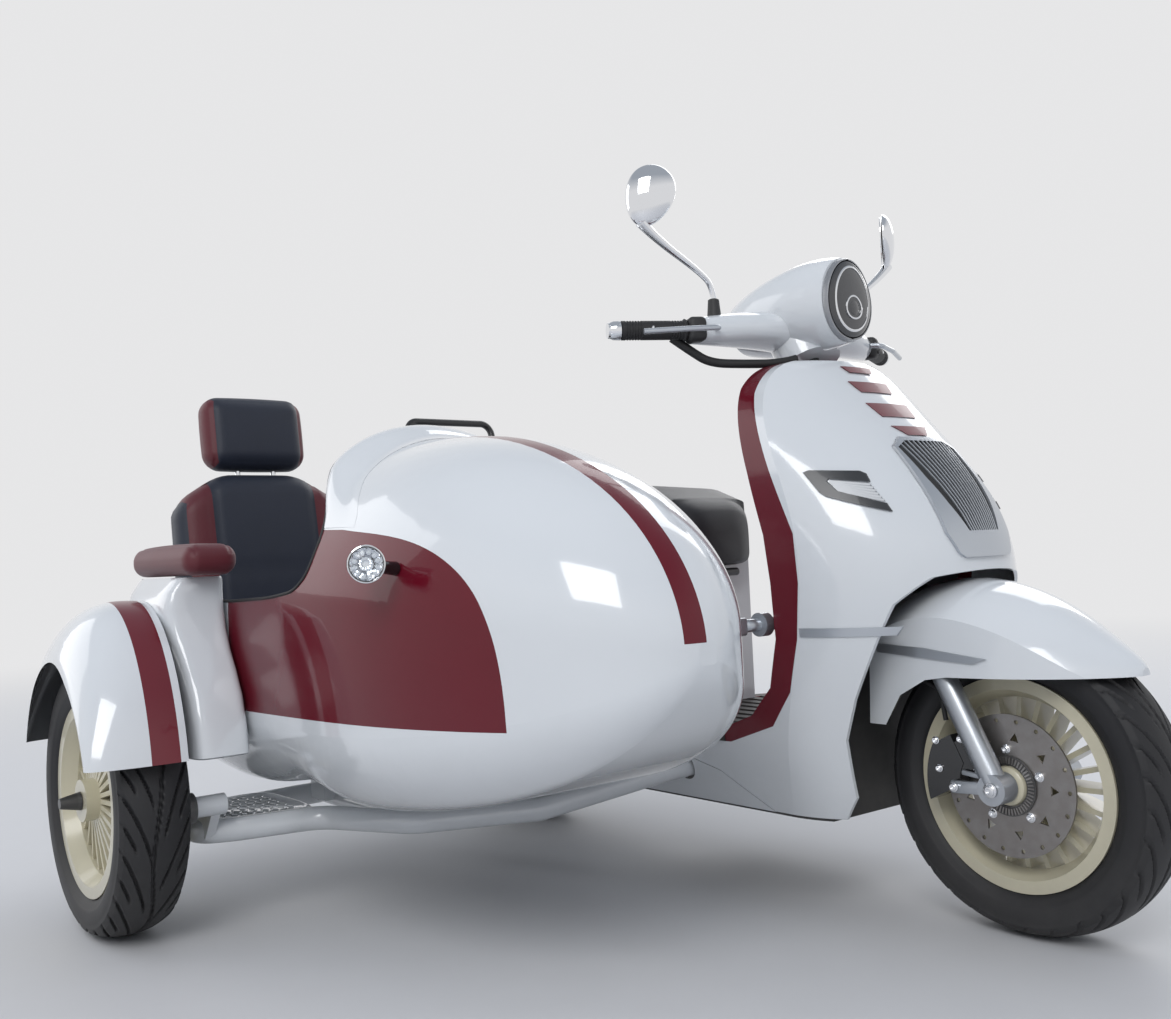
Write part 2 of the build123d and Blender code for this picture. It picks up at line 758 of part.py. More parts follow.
tub_outside = tub_form(0)
tub_inside = tub_form(tub_wall)
cockpit = [
    (-806, 860), (-756, 764), (-690, 700), (-672, 660), (-690, 610), (-730, 584), (-818, 574), (-980, 568),
    (-1480, 568), (-1700, 640), (-1700, 900)]
with BuildPart() as tub_shell:
    add(tub_outside)
    add(tub_inside, mode=Mode.SUBTRACT)
    add(profile(side(), cockpit, 1200), mode=Mode.SUBTRACT)

# The dark red side panel and nose band are cut out of the same shell, so they lie flush in it
panel_rear_x = -990.0
with BuildPart() as panel_block:
    with BuildSketch(side(-750)):
        with BuildLine():
            Polyline((-618, 676), (panel_rear_x, 690), (panel_rear_x, 378), (-260, 388))
            Spline((-260, 388), (-269, 487), (-297, 564), (-376, 628), (-490, 661), (-618, 676))
        make_face()
    extrude(amount=300)
band_half_width = 18.0
band_y = -630.0
band_low = 498.0
with BuildPart() as band_block:
    with BuildSketch(side(band_y + band_half_width)):
        with BuildLine():
            Polyline((0, band_low), (0, 900), (-900, 900), (-900, 800), (-400, band_low), close=True)
        make_face()
    extrude(amount=2 * band_half_width)
with BuildPart() as red_panels:
    with BuildPart(mode=Mode.PRIVATE) as red_blocks:
        add(panel_block.part)
        add(band_block.part)
    add(tub_shell.part)
    add(red_blocks.part, mode=Mode.INTERSECT)
keep(red_panels.part, "red_panels")
with BuildPart() as tub:
    add(tub_shell.part)
    add(panel_block.part, mode=Mode.SUBTRACT)
    add(band_block.part, mode=Mode.SUBTRACT)
    with BuildPart(mode=Mode.PRIVATE) as tub_floor:
        add(tub_form(tub_wall - 1))
        add(profile(side(), [(-345, tub_floor_z - 8), (-345, tub_floor_z), (-1560, tub_floor_z),
                             (-1560, tub_floor_z - 8)], 1200), mode=Mode.INTERSECT)
    add(tub_floor.part)
keep(tub.part, "tub")

# Passenger seat
seat_floor = tub_floor_z + seat_gap
cushion_length = 400.0
cushion_width = 440.0
cushion_height = 150.0
back_thickness = 95.0
headrest_width = 236.0
headrest_height = 160.0
headrest_thickness = 80.0
with BuildPart() as seat_cushion:
    with BuildSketch(level(seat_floor)):
        with Locations((-1200, tub_y)):
            RectangleRounded(cushion_length, cushion_width, 50)
    extrude(amount=cushion_height)
keep(seat_cushion.part, "seat_cushion")
back_lean = radians(8.0)
back_plane = Plane(at(-1406, tub_y, seat_floor), x_dir=(0, 1, 0), z_dir=(cos(back_lean), 0, sin(back_lean)))
with BuildPart() as seat_back:
    with BuildSketch(back_plane):
        with BuildLine():
            Polyline((-185, 0), (185, 0), (200, 120), (200, 420))
            ThreePointArc((200, 420), (165, 510), (95, 545))
            Polyline((95, 545), (-95, 545))
            ThreePointArc((-95, 545), (-165, 510), (-200, 420))
            Polyline((-200, 420), (-200, 120), (-185, 0))
        make_face()
    extrude(amount=-back_thickness)
    split(bisect_by=Plane(at(0, 0, seat_floor + seat_gap)), keep=Keep.TOP)
keep(seat_back.part, "seat_back")
with BuildPart() as headrest:
    with BuildSketch(back_plane.offset(-10)):
        with Locations((0, 648)):
            RectangleRounded(headrest_width, headrest_height, 45)
    extrude(amount=-headrest_thickness)
    post_foot = back_plane.origin + back_plane.y_dir * 545.3 - back_plane.z_dir * 50
    with BuildSketch(Plane(post_foot, x_dir=(0, 1, 0), z_dir=back_plane.y_dir)):
        with Locations((-50, 0), (50, 0)):
            Circle(7)
    extrude(amount=30)
keep(headrest.part, "headrest")

# Sidecar fender: side-view arches from its inner to its outer edge, turned a little outward in front
sidecar_fender_turn = 3.3
sidecar_fender_wall = 5.0
sidecar_fender_floor = 240.0
sidecar_fender_hem = 318.0
stripe_width = 46.0
fender_middle = Plane(at(sidecar_wheel_x, 0, 0), x_dir=(1, 0, 0), z_dir=(0, -1, 0))
fender_arches = [
    # y, half length, height
    (-1011.0, 262.0, 574.0),
    (-1070.0, 264.0, 574.0),
    (-1120.0, 261.0, 552.0),
    (-1150.0, 256.0, 515.0),
    (-1166.0, 250.0, 470.0),
]


def sidecar_fender_form(inset, drop):
    """The fender's outer form, shrunk by inset, with open sides when it is shrunk."""
    floor = sidecar_fender_floor - drop
    with BuildPart() as form:
        for i, (y, half, top) in enumerate(fender_arches):
            end = 2 if i == 0 else -2 if i == len(fender_arches) - 1 else 0
            shift = end if inset else 0
            with BuildSketch(fender_middle.offset(-y - shift)):
                with BuildLine():
                    Line((-half + inset, floor), (half - inset, floor))
                    EllipticalCenterArc((0, floor), half - inset, top - inset - floor, 0, arc_size=180)
                make_face()
        loft()
    return form.part


def turned_fender(inset):
    """The fender's outer form, shrunk by inset and turned into place."""
    form = sidecar_fender_form(inset, 0)
    return form.rotate(Axis(at(sidecar_wheel_x, -1080, 0), (0, 0, 1)), -sidecar_fender_turn)


# Armrest post beside the cockpit, flared down to the fender
post_gap = 1.0
post_sections = [
    # height, middle x, length, outer edge's y
    (310.0, -1090.0, 420.0, -1006.0),
    (420.0, -1090.0, 380.0, -1004.0),
    (500.0, -1092.5, 235.0, -1000.0),
    (560.0, -1090.0, 210.0, -988.0),
]
post_inner_y = -902.0
with BuildPart() as armrest_post:
    for z, x, length, outer_y in post_sections:
        with BuildSketch(level(z)):
            with Locations((x, (outer_y + post_inner_y) / 2)):
                Rectangle(length, post_inner_y - outer_y)
    loft(ruled=True)
    with BuildSketch(level(560)):
        with Locations((-1090, -945)):
            Rectangle(210, 86)
    extrude(amount=53)
    with BuildSketch(level(482)):
        with Locations((-1090, -963)):
            Rectangle(228, 122)
    extrude(amount=110)
    add(turned_fender(-post_gap), mode=Mode.SUBTRACT)
keep(armrest_post.part, "armrest_post")
with BuildPart() as armrest_pad:
    with BuildSketch(level(613.3)):
        with Locations((-1085, -943)):
            RectangleRounded(300, 98, 40)
    extrude(amount=58)
keep(armrest_pad.part, "armrest_pad")

with BuildPart() as fender_shell:
    add(sidecar_fender_form(0, 0))
    add(sidecar_fender_form(sidecar_fender_wall, 10), mode=Mode.SUBTRACT)
    with BuildSketch(level(sidecar_fender_hem)):
        with Locations((sidecar_wheel_x, -1080)):
            Rectangle(700, 300)
    extrude(amount=-118, mode=Mode.SUBTRACT)
turned = fender_shell.part.rotate(Axis(at(sidecar_wheel_x, -1080, 0), (0, 0, 1)), -sidecar_fender_turn)
stripe_band = Box(800, stripe_width, 1300).rotate(Axis.Z, -sidecar_fender_turn)
stripe_block = Pos(at(sidecar_wheel_x, -1046, 0)) * stripe_band
with BuildPart() as sidecar_fender:
    add(turned)
    add(stripe_block, mode=Mode.SUBTRACT)
keep(sidecar_fender.part, "sidecar_fender")
with BuildPart() as fender_stripe:
    add(turned)
    add(stripe_block, mode=Mode.INTERSECT)
keep(fender_stripe.part, "fender_stripe")

# Sidecar frame: one bent tube out under the tub and round the step, with a cross tube, two pads that
# carry the tub, the post that carries the armrest and the pivot of the wheel's arm
pivot_x = -960.0
pivot_z = 222.0
post_foot_x = -1120.0
post_foot_y = -950.0
post_tube_radius = 13.0
low_cross_radius = 16.0
step_thickness = 4.0
with BuildPart() as sidecar_frame:
    add(tube(loop_path, frame_tube_radius, loop_bend))
    add(tube([(-790, -645, loop_z), (-1190, -645, loop_z)], low_cross_radius, 0))
    for x in (-850, -1120):
        with BuildSketch(level(loop_z)):
            with Locations((x, -645)):
                Rectangle(60, 70)
        extrude(amount=tub_bottom + 8 - loop_z)
    add(tube([(post_foot_x, post_foot_y, loop_z), (post_foot_x, post_foot_y, post_sections[0][0] - seat_gap)],
             post_tube_radius, 0))
    with BuildSketch(side(-940)):
        with BuildLine():
            Polyline((-985, loop_z - 8), (pivot_x + 18, pivot_z), (pivot_x, pivot_z + 18),
                     (-1040, loop_z + 15), close=True)
        make_face()
    extrude(amount=16)
    with BuildSketch(side(-930)):
        with Locations((pivot_x, pivot_z)):
            Circle(18)
    extrude(amount=54.7)
    add(tub_form(-seat_gap), mode=Mode.SUBTRACT)
keep(sidecar_frame.part, "sidecar_frame")
with BuildPart() as step_plate:
    with BuildSketch(level(loop_z + frame_tube_radius + seat_gap)):
        with BuildLine():
            Polyline((-985, -740), (-1010, -940), (-1140, -940), (-1160, -740), close=True)
        make_face()
        with Locations((post_foot_x, post_foot_y)):
            Circle(post_tube_radius + seat_gap, mode=Mode.SUBTRACT)
    extrude(amount=step_thickness)
    with BuildSketch(level(0)):
        with Locations((pivot_x - 12, -946)):
            Rectangle(70, 60)
    extrude(amount=300, mode=Mode.SUBTRACT)
keep(step_plate.part, "step_plate")

# The arm that carries the sidecar's wheel, with the axle fixed in it
arm_y = -985.0
arm_thickness = 16.0
with BuildPart() as sidecar_arm:
    with BuildSketch(side(arm_y)):
        with Locations((pivot_x, pivot_z)):
            Circle(26)
        with Locations((sidecar_wheel_x, wheel_radius)):
            Circle(24)
        with BuildLine():
            Polyline((pivot_x, pivot_z + 20), (pivot_x, pivot_z - 20), (sidecar_wheel_x, wheel_radius - 20),
                     (sidecar_wheel_x, wheel_radius + 20), close=True)
        make_face()
    extrude(amount=arm_thickness)
    with BuildSketch(side(arm_y)):
        with Locations((sidecar_wheel_x, wheel_radius)):
            Circle(axle_radius)
    extrude(amount=165)
    with BuildSketch(side(sidecar_wheel_y - hub_half_length - 1)):
        with Locations((sidecar_wheel_x, wheel_radius)):
            Circle(16)
    extrude(amount=34, taper=12)
keep(sidecar_arm.part, "sidecar_arm")

# Bullet lamp on a stalk that stands out from the side panel
lamp_x = -424.0
lamp_y = -925.0
lamp_z = 621.0
with BuildPart() as turn_lamp:
    with BuildSketch(Plane(at(lamp_x, lamp_y, lamp_z), x_dir=(-1, 0, 0), z_dir=(0, -1, 0))):
        with BuildLine():
            Polyline((62, 0), (0, 0), (0, 24), (5, 27), (16, 26))
            ThreePointArc((16, 26), (46, 16), (62, 0))
        make_face()
    revolve(axis=Axis(at(lamp_x, lamp_y, lamp_z), (1, 0, 0)))
    add(tube([(lamp_x - 14, lamp_y + 20, lamp_z - 2), (-450, -864.5, 613)], 7, 0))
keep(turn_lamp.part, "turn_lamp")

# Upper strut from the down tube out through the rear edge of the shield to a pad on the tub's flank
with BuildPart() as upper_strut:
    add(tube(strut_path, strut_radius, 25))
    with BuildSketch(side(-225)):
        with Locations((-338.5, 490.5)):
            Circle(strut_radius + 9)
    extrude(amount=18)
    with BuildSketch(side(-270)):
        with Locations((-360, 489)):
            RectangleRounded(44, 30, 6)
    extrude(amount=26)
    with BuildSketch(side(-324)):
        with Locations((-470, 484)):
            RectangleRounded(70, 60, 10)
    extrude(amount=5)
keep(upper_strut.part, "upper_strut")

# Handlebar and headset, which turn with the fork
bar_z = 1010.0
bar_x = -436.0
bar_run = [(-525, -360, bar_z), (bar_x, -185, bar_z), (bar_x, 185, bar_z), (-525, 360, bar_z)]
bar_radius = 11.0
bar_end_radius = 14.0
bar_end_length = 22.0
grip_radius = 17.0
grip_length = 122.0


def bar_end(hand):
    """The plane across the handlebar's end, facing outward."""
    return Plane(at(-525, hand * 360, bar_z), z_dir=(-89, hand * 175, 0))


with BuildPart() as handlebar:
    add(tube(bar_run, bar_radius, 60))
    for hand in (-1, 1):
        with BuildSketch(bar_end(hand)):
            Circle(bar_end_radius)
        extrude(amount=bar_end_length)
keep(handlebar.part, "handlebar")
with BuildPart() as grips:
    for hand in (-1, 1):
        with BuildSketch(bar_end(hand).offset(-2)):
            Circle(grip_radius)
            Circle(bar_radius + seat_gap, mode=Mode.SUBTRACT)
        extrude(amount=-grip_length)
keep(grips.part, "grips")

nacelle_sections = [
    # x, middle height, half width, half height
    (-318.0, 1058.0, 64.0, 77.0),
    (-350.0, 1059.0, 72.0, 82.0),
    (-420.0, 1056.0, 84.0, 82.0),
    (-500.0, 1050.0, 80.0, 70.0),
    (-550.0, 1046.0, 66.0, 56.0),
]
arm_sections = [
    # y, middle x, middle height, half length, half height
    (0.0, -440.0, 1020.0, 60.0, 44.0),
    (120.0, -448.0, 1016.0, 44.0, 33.0),
    (200.0, -462.0, 1012.0, 34.0, 27.0),
    (236.0, -474.0, 1010.0, 26.0, 23.0),
]
lever_radius = 5.0


def lever(hand, radius):
    """A brake lever, from its socket in the headset's arm to its tip ahead of the grip."""
    return tube([(-433, hand * 213, 1010), (-415, hand * 224, 1008), (-432, hand * 280, 1004),
                 (-470, hand * 352, 1000)], radius, 10)


with BuildPart() as headset:
    for x, z, half_width, half_height in nacelle_sections:
        with BuildSketch(station(x)):
            with Locations((0, z)):
                Ellipse(half_width, half_height)
    loft()
    for hand in (-1, 1):
        for y, x, z, half_length, half_height in arm_sections:
            with BuildSketch(side(hand * y)):
                with Locations((x, z)):
                    Ellipse(half_length, half_height)
        loft()
    with BuildSketch(steering.offset(958 / cos(rake))):
        Ellipse(52, 60)
    with BuildSketch(steering.offset(1030 / cos(rake))):
        Ellipse(60, 70)
    loft()
    add(tube(bar_run, bar_radius + seat_gap, 60), mode=Mode.SUBTRACT)
    for hand in (-1, 1):
        add(lever(hand, lever_radius + seat_gap), mode=Mode.SUBTRACT)
    with BuildSketch(steering.offset(900 / cos(rake))):
        Circle(stem_radius + seat_gap)
    extrude(amount=(bar_z - 900) / cos(rake) + seat_gap, mode=Mode.SUBTRACT)
keep(headset.part, "headset")
headlight_half_width = 62.0
headlight_half_height = 75.0
headlight_depth = 8.0
with BuildPart() as headlight:
    with BuildSketch(station(nacelle_sections[0][0] + seat_gap)):
        with Locations((0, nacelle_sections[0][1])):
            Ellipse(headlight_half_width, headlight_half_height)
    extrude(amount=headlight_depth)
keep(headlight.part, "headlight")

mirror_half_width = 44.0
mirror_half_height = 56.0
mirror_depth = 18.0
mirror_stem_radius = 5.0
with BuildPart() as mirrors:
    for hand, head_y in ((-1, 345), (1, 290)):
        add(tube([(-462, hand * 190, 1041.5), (-462, hand * 200, 1090), (-452, hand * (head_y - 50), 1170),
                  (-450, hand * (head_y - 10), 1200)], mirror_stem_radius, 20))
        face = Plane(at(-443, hand * head_y, 1230), x_dir=(-hand * 0.6, 0.8, 0), z_dir=(0.8, hand * 0.6, 0))
        with BuildSketch(face):
            Ellipse(mirror_half_width, mirror_half_height)
        extrude(amount=-mirror_depth)
keep(mirrors.part, "mirrors")

with BuildPart() as levers:
    for hand in (-1, 1):
        add(lever(hand, lever_radius))
keep(levers.part, "levers")

# Brake caliper behind the fork's right leg: a block around the disc's rim, open where the disc runs
caliper_outer = 129.0
caliper_inner = 68.0
disc_clearance = 5.0
caliper_plane = Plane(at(0, -45, wheel_radius), x_dir=(-cos(rake), 0, -sin(rake)), z_dir=(0, -1, 0))
with BuildPart() as caliper:
    with BuildSketch(caliper_plane):
        Circle(caliper_outer)
        Circle(caliper_inner, mode=Mode.SUBTRACT)
        with Locations((84, -66)):
            Rectangle(90, 76, mode=Mode.INTERSECT)
    extrude(amount=45)
    with BuildSketch(caliper_plane.offset(11 - disc_clearance)):
        Circle(disc_radius + disc_clearance)
    extrude(amount=disc_thickness + 2 * disc_clearance, mode=Mode.SUBTRACT)
    with BuildSketch(caliper_plane.offset(32)):
        with Locations(((leg_radius + seat_gap + 48) / 2, -66)):
            Rectangle(48 - leg_radius - seat_gap, 50)
    extrude(amount=12)
keep(caliper.part, "caliper")
hose_radius = 4.0
with BuildPart() as brake_hose:
    add(tube([(-96, -78, 331), (-104, -78, 380), (-200, -78, 420), (-207, -78, 446), (-168.8, -78, 465.5)],
             hose_radius, 12))
keep(brake_hose.part, "brake_hose")

# Engine as one plain block with the drive case and the rear axle on its left
case_y = 150.0
engine_half_width = 90.0
with BuildPart() as engine:
    with BuildSketch(side(engine_half_width)):
        with BuildLine():
            Polyline((-860, 200), (-1085, 185), (-1100, 236), (-1085, 330), (-1040, engine_top),
                     (-900, engine_top), (-850, 330), close=True)
        make_face()
    extrude(amount=2 * engine_half_width)
    with BuildSketch(side(case_y)):
        with BuildLine():
            Polyline((-1000, 200), (-1350, 180))
            ThreePointArc((-1350, 180), (-1406, 236), (-1350, 292))
            Polyline((-1350, 292), (-1000, 330), (-1000, 200))
        make_face()
    extrude(amount=case_y - engine_half_width + 4)
    with BuildSketch(side(case_y - 5)):
        with Locations((-wheelbase, wheel_radius)):
            Circle(axle_radius)
    extrude(amount=case_y - 5 + hub_half_length + 14)
    with BuildSketch(side(-hub_half_length - 1)):
        with Locations((-wheelbase, wheel_radius)):
            RegularPolygon(14, 6)
    extrude(amount=11)
keep(engine.part, "engine")
muffler_radius = 46.0
pipe_radius = 14.0
with BuildPart() as muffler:
    add(tube([(-1160, -122, 217), (-1500, -132, 300)], muffler_radius, 0))
    add(tube([(-1000, -engine_half_width - seat_gap, 230), (-1000, -122, 230), (-1175, -122, 222)],
             pipe_radius, 20))
keep(muffler.part, "muffler")
shock_foot = Plane(at(-1345, 122, 295), z_dir=(-48, -4, 250))
shock_rod_radius = 14.0
spring_radius = 27.0
with BuildPart() as rear_shock:
    with BuildSketch(shock_foot):
        Circle(shock_rod_radius)
    extrude(amount=244)
    with BuildSketch(shock_foot.offset(35)):
        Circle(spring_radius)
    extrude(amount=170)
keep(rear_shock.part, "rear_shock")
with BuildPart() as rack:
    add(tube(rack_leg + [(x, -y, z) for x, y, z in rack_leg[::-1]], rack_radius, 30))
    add(tube([(-1653, -130, 900), (-1653, 130, 900)], rack_bar_radius, 0))
keep(rack.part, "rack")
with BuildPart() as rear_mudguard:
    with BuildSketch(station(-wheelbase)):
        with Locations((0, wheel_radius + 264)):
            Rectangle(140, 5)
    revolve(axis=Axis(at(-wheelbase, 0, wheel_radius), (0, -1, 0)), revolution_arc=82)
    with BuildSketch(side(20)):
        with Locations((-1450, 516)):
            Rectangle(12, 73.4)
    extrude(amount=40)
keep(rear_mudguard.part, "rear_mudguard")
tail_lamp_half_width = 60.0
tail_lamp_half_height = 36.0
tail_lamp_depth = 26.0
with BuildPart() as tail_lamp:
    with BuildSketch(station(body_stations[-1][0] - seat_gap)):
        with Locations((0, 690)):
            Ellipse(tail_lamp_half_width, tail_lamp_half_height)
    extrude(amount=-tail_lamp_depth)
keep(tail_lamp.part, "tail_lamp")

print(len(made), "pieces")
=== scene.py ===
from math import atan2, cos, hypot, radians, sin, tau

import bmesh
import bpy
from mathutils import Matrix, Vector
from mathutils.bvhtree import BVHTree


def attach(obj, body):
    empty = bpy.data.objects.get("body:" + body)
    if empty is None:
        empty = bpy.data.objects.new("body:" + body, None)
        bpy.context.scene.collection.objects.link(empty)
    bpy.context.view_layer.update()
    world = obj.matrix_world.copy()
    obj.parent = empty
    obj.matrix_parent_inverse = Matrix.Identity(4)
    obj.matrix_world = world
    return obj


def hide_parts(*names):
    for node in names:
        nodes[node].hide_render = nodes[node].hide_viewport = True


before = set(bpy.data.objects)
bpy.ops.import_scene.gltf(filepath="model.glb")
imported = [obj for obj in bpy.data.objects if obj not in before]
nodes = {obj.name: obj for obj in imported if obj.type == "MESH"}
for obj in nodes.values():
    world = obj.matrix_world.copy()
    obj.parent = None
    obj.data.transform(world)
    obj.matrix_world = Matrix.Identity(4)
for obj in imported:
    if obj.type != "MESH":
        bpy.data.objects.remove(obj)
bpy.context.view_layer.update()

# Places are given in the scooter's own millimetres: x ahead of the front axle, y left of the scooter's
# middle plane, z above the floor
FRONT_AXLE_X = 728.0
SCOOTER_Y = 392.0
MM = 0.001
TUB_Y = -610.0
WHEEL_RADIUS = 236.0
SIDECAR_WHEEL = (-1115.0, -1067.0)

WORLD_Z = Vector((0, 0, 1))
SIDES = ((-1, "right"), (1, "left"))
SAME_POINT = 0.000002  # metres


def at(x, y, z):
    """A place of the scooter as a point of the scene, in metres."""
    return Vector(((x + FRONT_AXLE_X) * MM, (y + SCOOTER_Y) * MM, z * MM))


# Material building blocks


def new_group(name, inputs, output):
    """An empty shader group with float inputs and one float output."""
    group = bpy.data.node_groups.new(name, "ShaderNodeTree")
    for label, default in inputs:
        socket = group.interface.new_socket(label, in_out="INPUT", socket_type="NodeSocketFloat")
        socket.default_value = default
    group.interface.new_socket(output, in_out="OUTPUT", socket_type="NodeSocketFloat")
    return group, group.nodes.new("NodeGroupInput"), group.nodes.new("NodeGroupOutput")


def add_node(tree, kind, links=(), **values):
    """A node with its links, as (input, socket) pairs, and its settings or input values by name."""
    node = tree.nodes.new(kind)
    for key, value in values.items():
        if hasattr(node, key):
            setattr(node, key, value)
        else:
            node.inputs[key.replace("_", " ")].default_value = value
    for target, source in links:
        tree.links.new(source, node.inputs[target])
    return node


def math_node(tree, operation, first, second):
    """The result of a math node; second is a socket or a number."""
    node = add_node(tree, "ShaderNodeMath", [(0, first)], operation=operation)
    if isinstance(second, float):
        node.inputs[1].default_value = second
    else:
        tree.links.new(second, node.inputs[1])
    return node.outputs[0]


def noise(tree, links=(), **values):
    """The result of a noise node over the object's own coordinates."""
    place = add_node(tree, "ShaderNodeTexCoord").outputs["Object"]
    return add_node(tree, "ShaderNodeTexNoise", [("Vector", place), *links], **values).outputs["Fac"]


def grain_group():
    """Fine moulded grain: noise as a height."""
    group, given, result = new_group("Grain", [("Scale", 400.0)], "Height")
    group.links.new(noise(group, [("Scale", given.outputs[0])], Detail=4.0, Roughness=0.6), result.inputs[0])
    return group


def leather_group():
    """Leather: cells with soft creases as a height."""
    group, given, result = new_group("Leather", [("Scale", 320.0)], "Height")
    place = add_node(group, "ShaderNodeTexCoord").outputs["Object"]
    warp = add_node(group, "ShaderNodeTexNoise", [("Vector", place)], Scale=60.0, Detail=2.0)
    scaled = add_node(group, "ShaderNodeVectorMath", [(0, warp.outputs["Color"])], operation="SCALE",
                      Scale=0.004)
    mixed = add_node(group, "ShaderNodeVectorMath", [(0, place), (1, scaled.outputs[0])], operation="ADD")
    cells = add_node(group, "ShaderNodeTexVoronoi",
                     [("Vector", mixed.outputs[0]), ("Scale", given.outputs[0])], feature="DISTANCE_TO_EDGE")
    crease = add_node(group, "ShaderNodeMapRange", [("Value", cells.outputs["Distance"])], From_Max=0.25)
    group.links.new(crease.outputs[0], result.inputs[0])
    return group


def wear_group():
    """Wear: a mask of edges and proud corners, broken up by noise."""
    group, given, result = new_group("Wear", [("Amount", 0.5)], "Mask")
    geometry = add_node(group, "ShaderNodeNewGeometry")
    edge = add_node(group, "ShaderNodeMapRange", [("Value", geometry.outputs["Pointiness"])], From_Min=0.53,
                    From_Max=0.62)
    broken = math_node(group, "MULTIPLY", edge.outputs[0], noise(group, Scale=55.0, Detail=6.0))
    group.links.new(math_node(group, "MULTIPLY", broken, given.outputs[0]), result.inputs[0])
    return group


def dust_group():
    """Dust and road film: strongest near the floor, in soft patches."""
    group, given, result = new_group("Dust", [("Amount", 0.5), ("Top", 0.5)], "Mask")
    place = add_node(group, "ShaderNodeTexCoord")
    split = add_node(group, "ShaderNodeSeparateXYZ", [("Vector", place.outputs["Object"])])
    low = add_node(group, "ShaderNodeMapRange",
                   [("Value", split.outputs["Z"]), ("From Min", given.outputs[1])], From_Max=0.0)
    mask = math_node(group, "MULTIPLY", low.outputs[0], noise(group, Scale=14.0, Detail=8.0, Roughness=0.7))
    group.links.new(math_node(group, "MULTIPLY", mask, given.outputs[0]), result.inputs[0])
    return group


GRAIN, LEATHER, WEAR, DUST = grain_group(), leather_group(), wear_group(), dust_group()


def use_group(tree, group, **values):
    """An instance of a shader group with its inputs set."""
    node = tree.nodes.new("ShaderNodeGroup")
    node.node_tree = group
    for key, value in values.items():
        node.inputs[key].default_value = value
    return node


def mix_colour(tree, factor, low, high):
    """Mixes two colours, given as values or sockets, by a factor socket."""
    node = tree.nodes.new("ShaderNodeMix")
    node.data_type = "RGBA"
    tree.links.new(factor, node.inputs["Factor"])
    for index, value in ((6, low), (7, high)):
        if isinstance(value, tuple):
            node.inputs[index].default_value = (*value, 1.0)
        else:
            tree.links.new(value, node.inputs[index])
    return node.outputs[2]


def material(name, colour, roughness, metallic=0.0, coat=0.0, coat_roughness=0.03, grain=None, leather=None,
             bump=0.1, distance=0.0004, wear=0.0, wear_colour=(0.5, 0.5, 0.5), dust=0.0, dust_top=0.5,
             dust_colour=(0.32, 0.30, 0.27), variation=0.06, roughness_spread=0.08, sheen=0.0):
    """A painted, plated, moulded or leather surface with wear, dust and a fine relief."""
    made = bpy.data.materials.new(name)
    made.use_nodes = True
    tree = made.node_tree
    shader = tree.nodes["Principled BSDF"]
    cloud = noise(tree, Scale=11.0, Detail=6.0)
    darker = tuple(c * (1 - variation) for c in colour)
    surface = mix_colour(tree, cloud, darker, tuple(min(1.0, c * (1 + variation)) for c in colour))
    if wear:
        mask = use_group(tree, WEAR, Amount=wear)
        surface = mix_colour(tree, mask.outputs[0], surface, wear_colour)
    if dust:
        film = use_group(tree, DUST, Amount=dust, Top=dust_top)
        surface = mix_colour(tree, film.outputs[0], surface, dust_colour)
    tree.links.new(surface, shader.inputs["Base Color"])
    rough = add_node(tree, "ShaderNodeMapRange", [("Value", cloud)],
                     To_Min=max(0.0, roughness - roughness_spread / 2),
                     To_Max=min(1.0, roughness + roughness_spread / 2))
    tree.links.new(rough.outputs[0], shader.inputs["Roughness"])
    shader.inputs["Metallic"].default_value = metallic
    shader.inputs["Coat Weight"].default_value = coat
    shader.inputs["Coat Roughness"].default_value = coat_roughness
    shader.inputs["Sheen Weight"].default_value = sheen
    if grain or leather:
        relief = use_group(tree, LEATHER if leather else GRAIN, Scale=leather or grain)
        bumped = add_node(tree, "ShaderNodeBump", [("Height", relief.outputs[0])], Strength=bump,
                          Distance=distance)
        tree.links.new(bumped.outputs[0], shader.inputs["Normal"])
    return made


RED = material("red_paint", (0.125, 0.0045, 0.014), 0.22, coat=0.5, grain=900.0, bump=0.05, distance=0.0002,
               dust=0.12, variation=0.05, roughness_spread=0.06)
RED.node_tree.nodes["Principled BSDF"].inputs["Specular IOR Level"].default_value = 0.15
RED_DECAL = material("red_decal", (0.145, 0.006, 0.016), 0.30, coat=0.35, grain=900.0, bump=0.05,
                     distance=0.0002)
CREAM = material("cream_paint", (0.63, 0.585, 0.43), 0.30, coat=0.6, coat_roughness=0.12, grain=700.0,
                 bump=0.06, wear=0.35, wear_colour=(0.42, 0.38, 0.28), dust=0.35, dust_top=0.48)
TYRE = material("tyre_rubber", (0.012, 0.012, 0.014), 0.58, grain=1400.0, bump=0.25, dust=0.5, dust_top=0.30,
                dust_colour=(0.10, 0.095, 0.09), roughness_spread=0.2)
RUBBER = material("rubber", (0.016, 0.016, 0.017), 0.60, grain=1500.0, bump=0.2, dust=0.1)
SILVER = material("silver_paint", (0.50, 0.53, 0.57), 0.30, metallic=0.75, coat=0.4, grain=2400.0, bump=0.08,
                  distance=0.0001, wear=0.3, variation=0.05)
CAST = material("cast_alloy", (0.46, 0.46, 0.47), 0.45, metallic=0.9, grain=500.0, bump=0.3, dust=0.4)
STEEL = material("disc_steel", (0.25, 0.225, 0.21), 0.36, metallic=0.9, grain=1100.0, bump=0.18,
                 distance=0.0001, wear=0.5, variation=0.18, roughness_spread=0.18)
CHROME = material("chrome", (0.82, 0.83, 0.85), 0.05, metallic=1.0, grain=60.0, bump=0.02, variation=0.02,
                  roughness_spread=0.04)
BLACK_METAL = material("black_metal", (0.018, 0.018, 0.019), 0.38, metallic=0.1, coat=0.3, grain=800.0,
                       bump=0.12, wear=0.6, wear_colour=(0.16, 0.16, 0.16), dust=0.3)
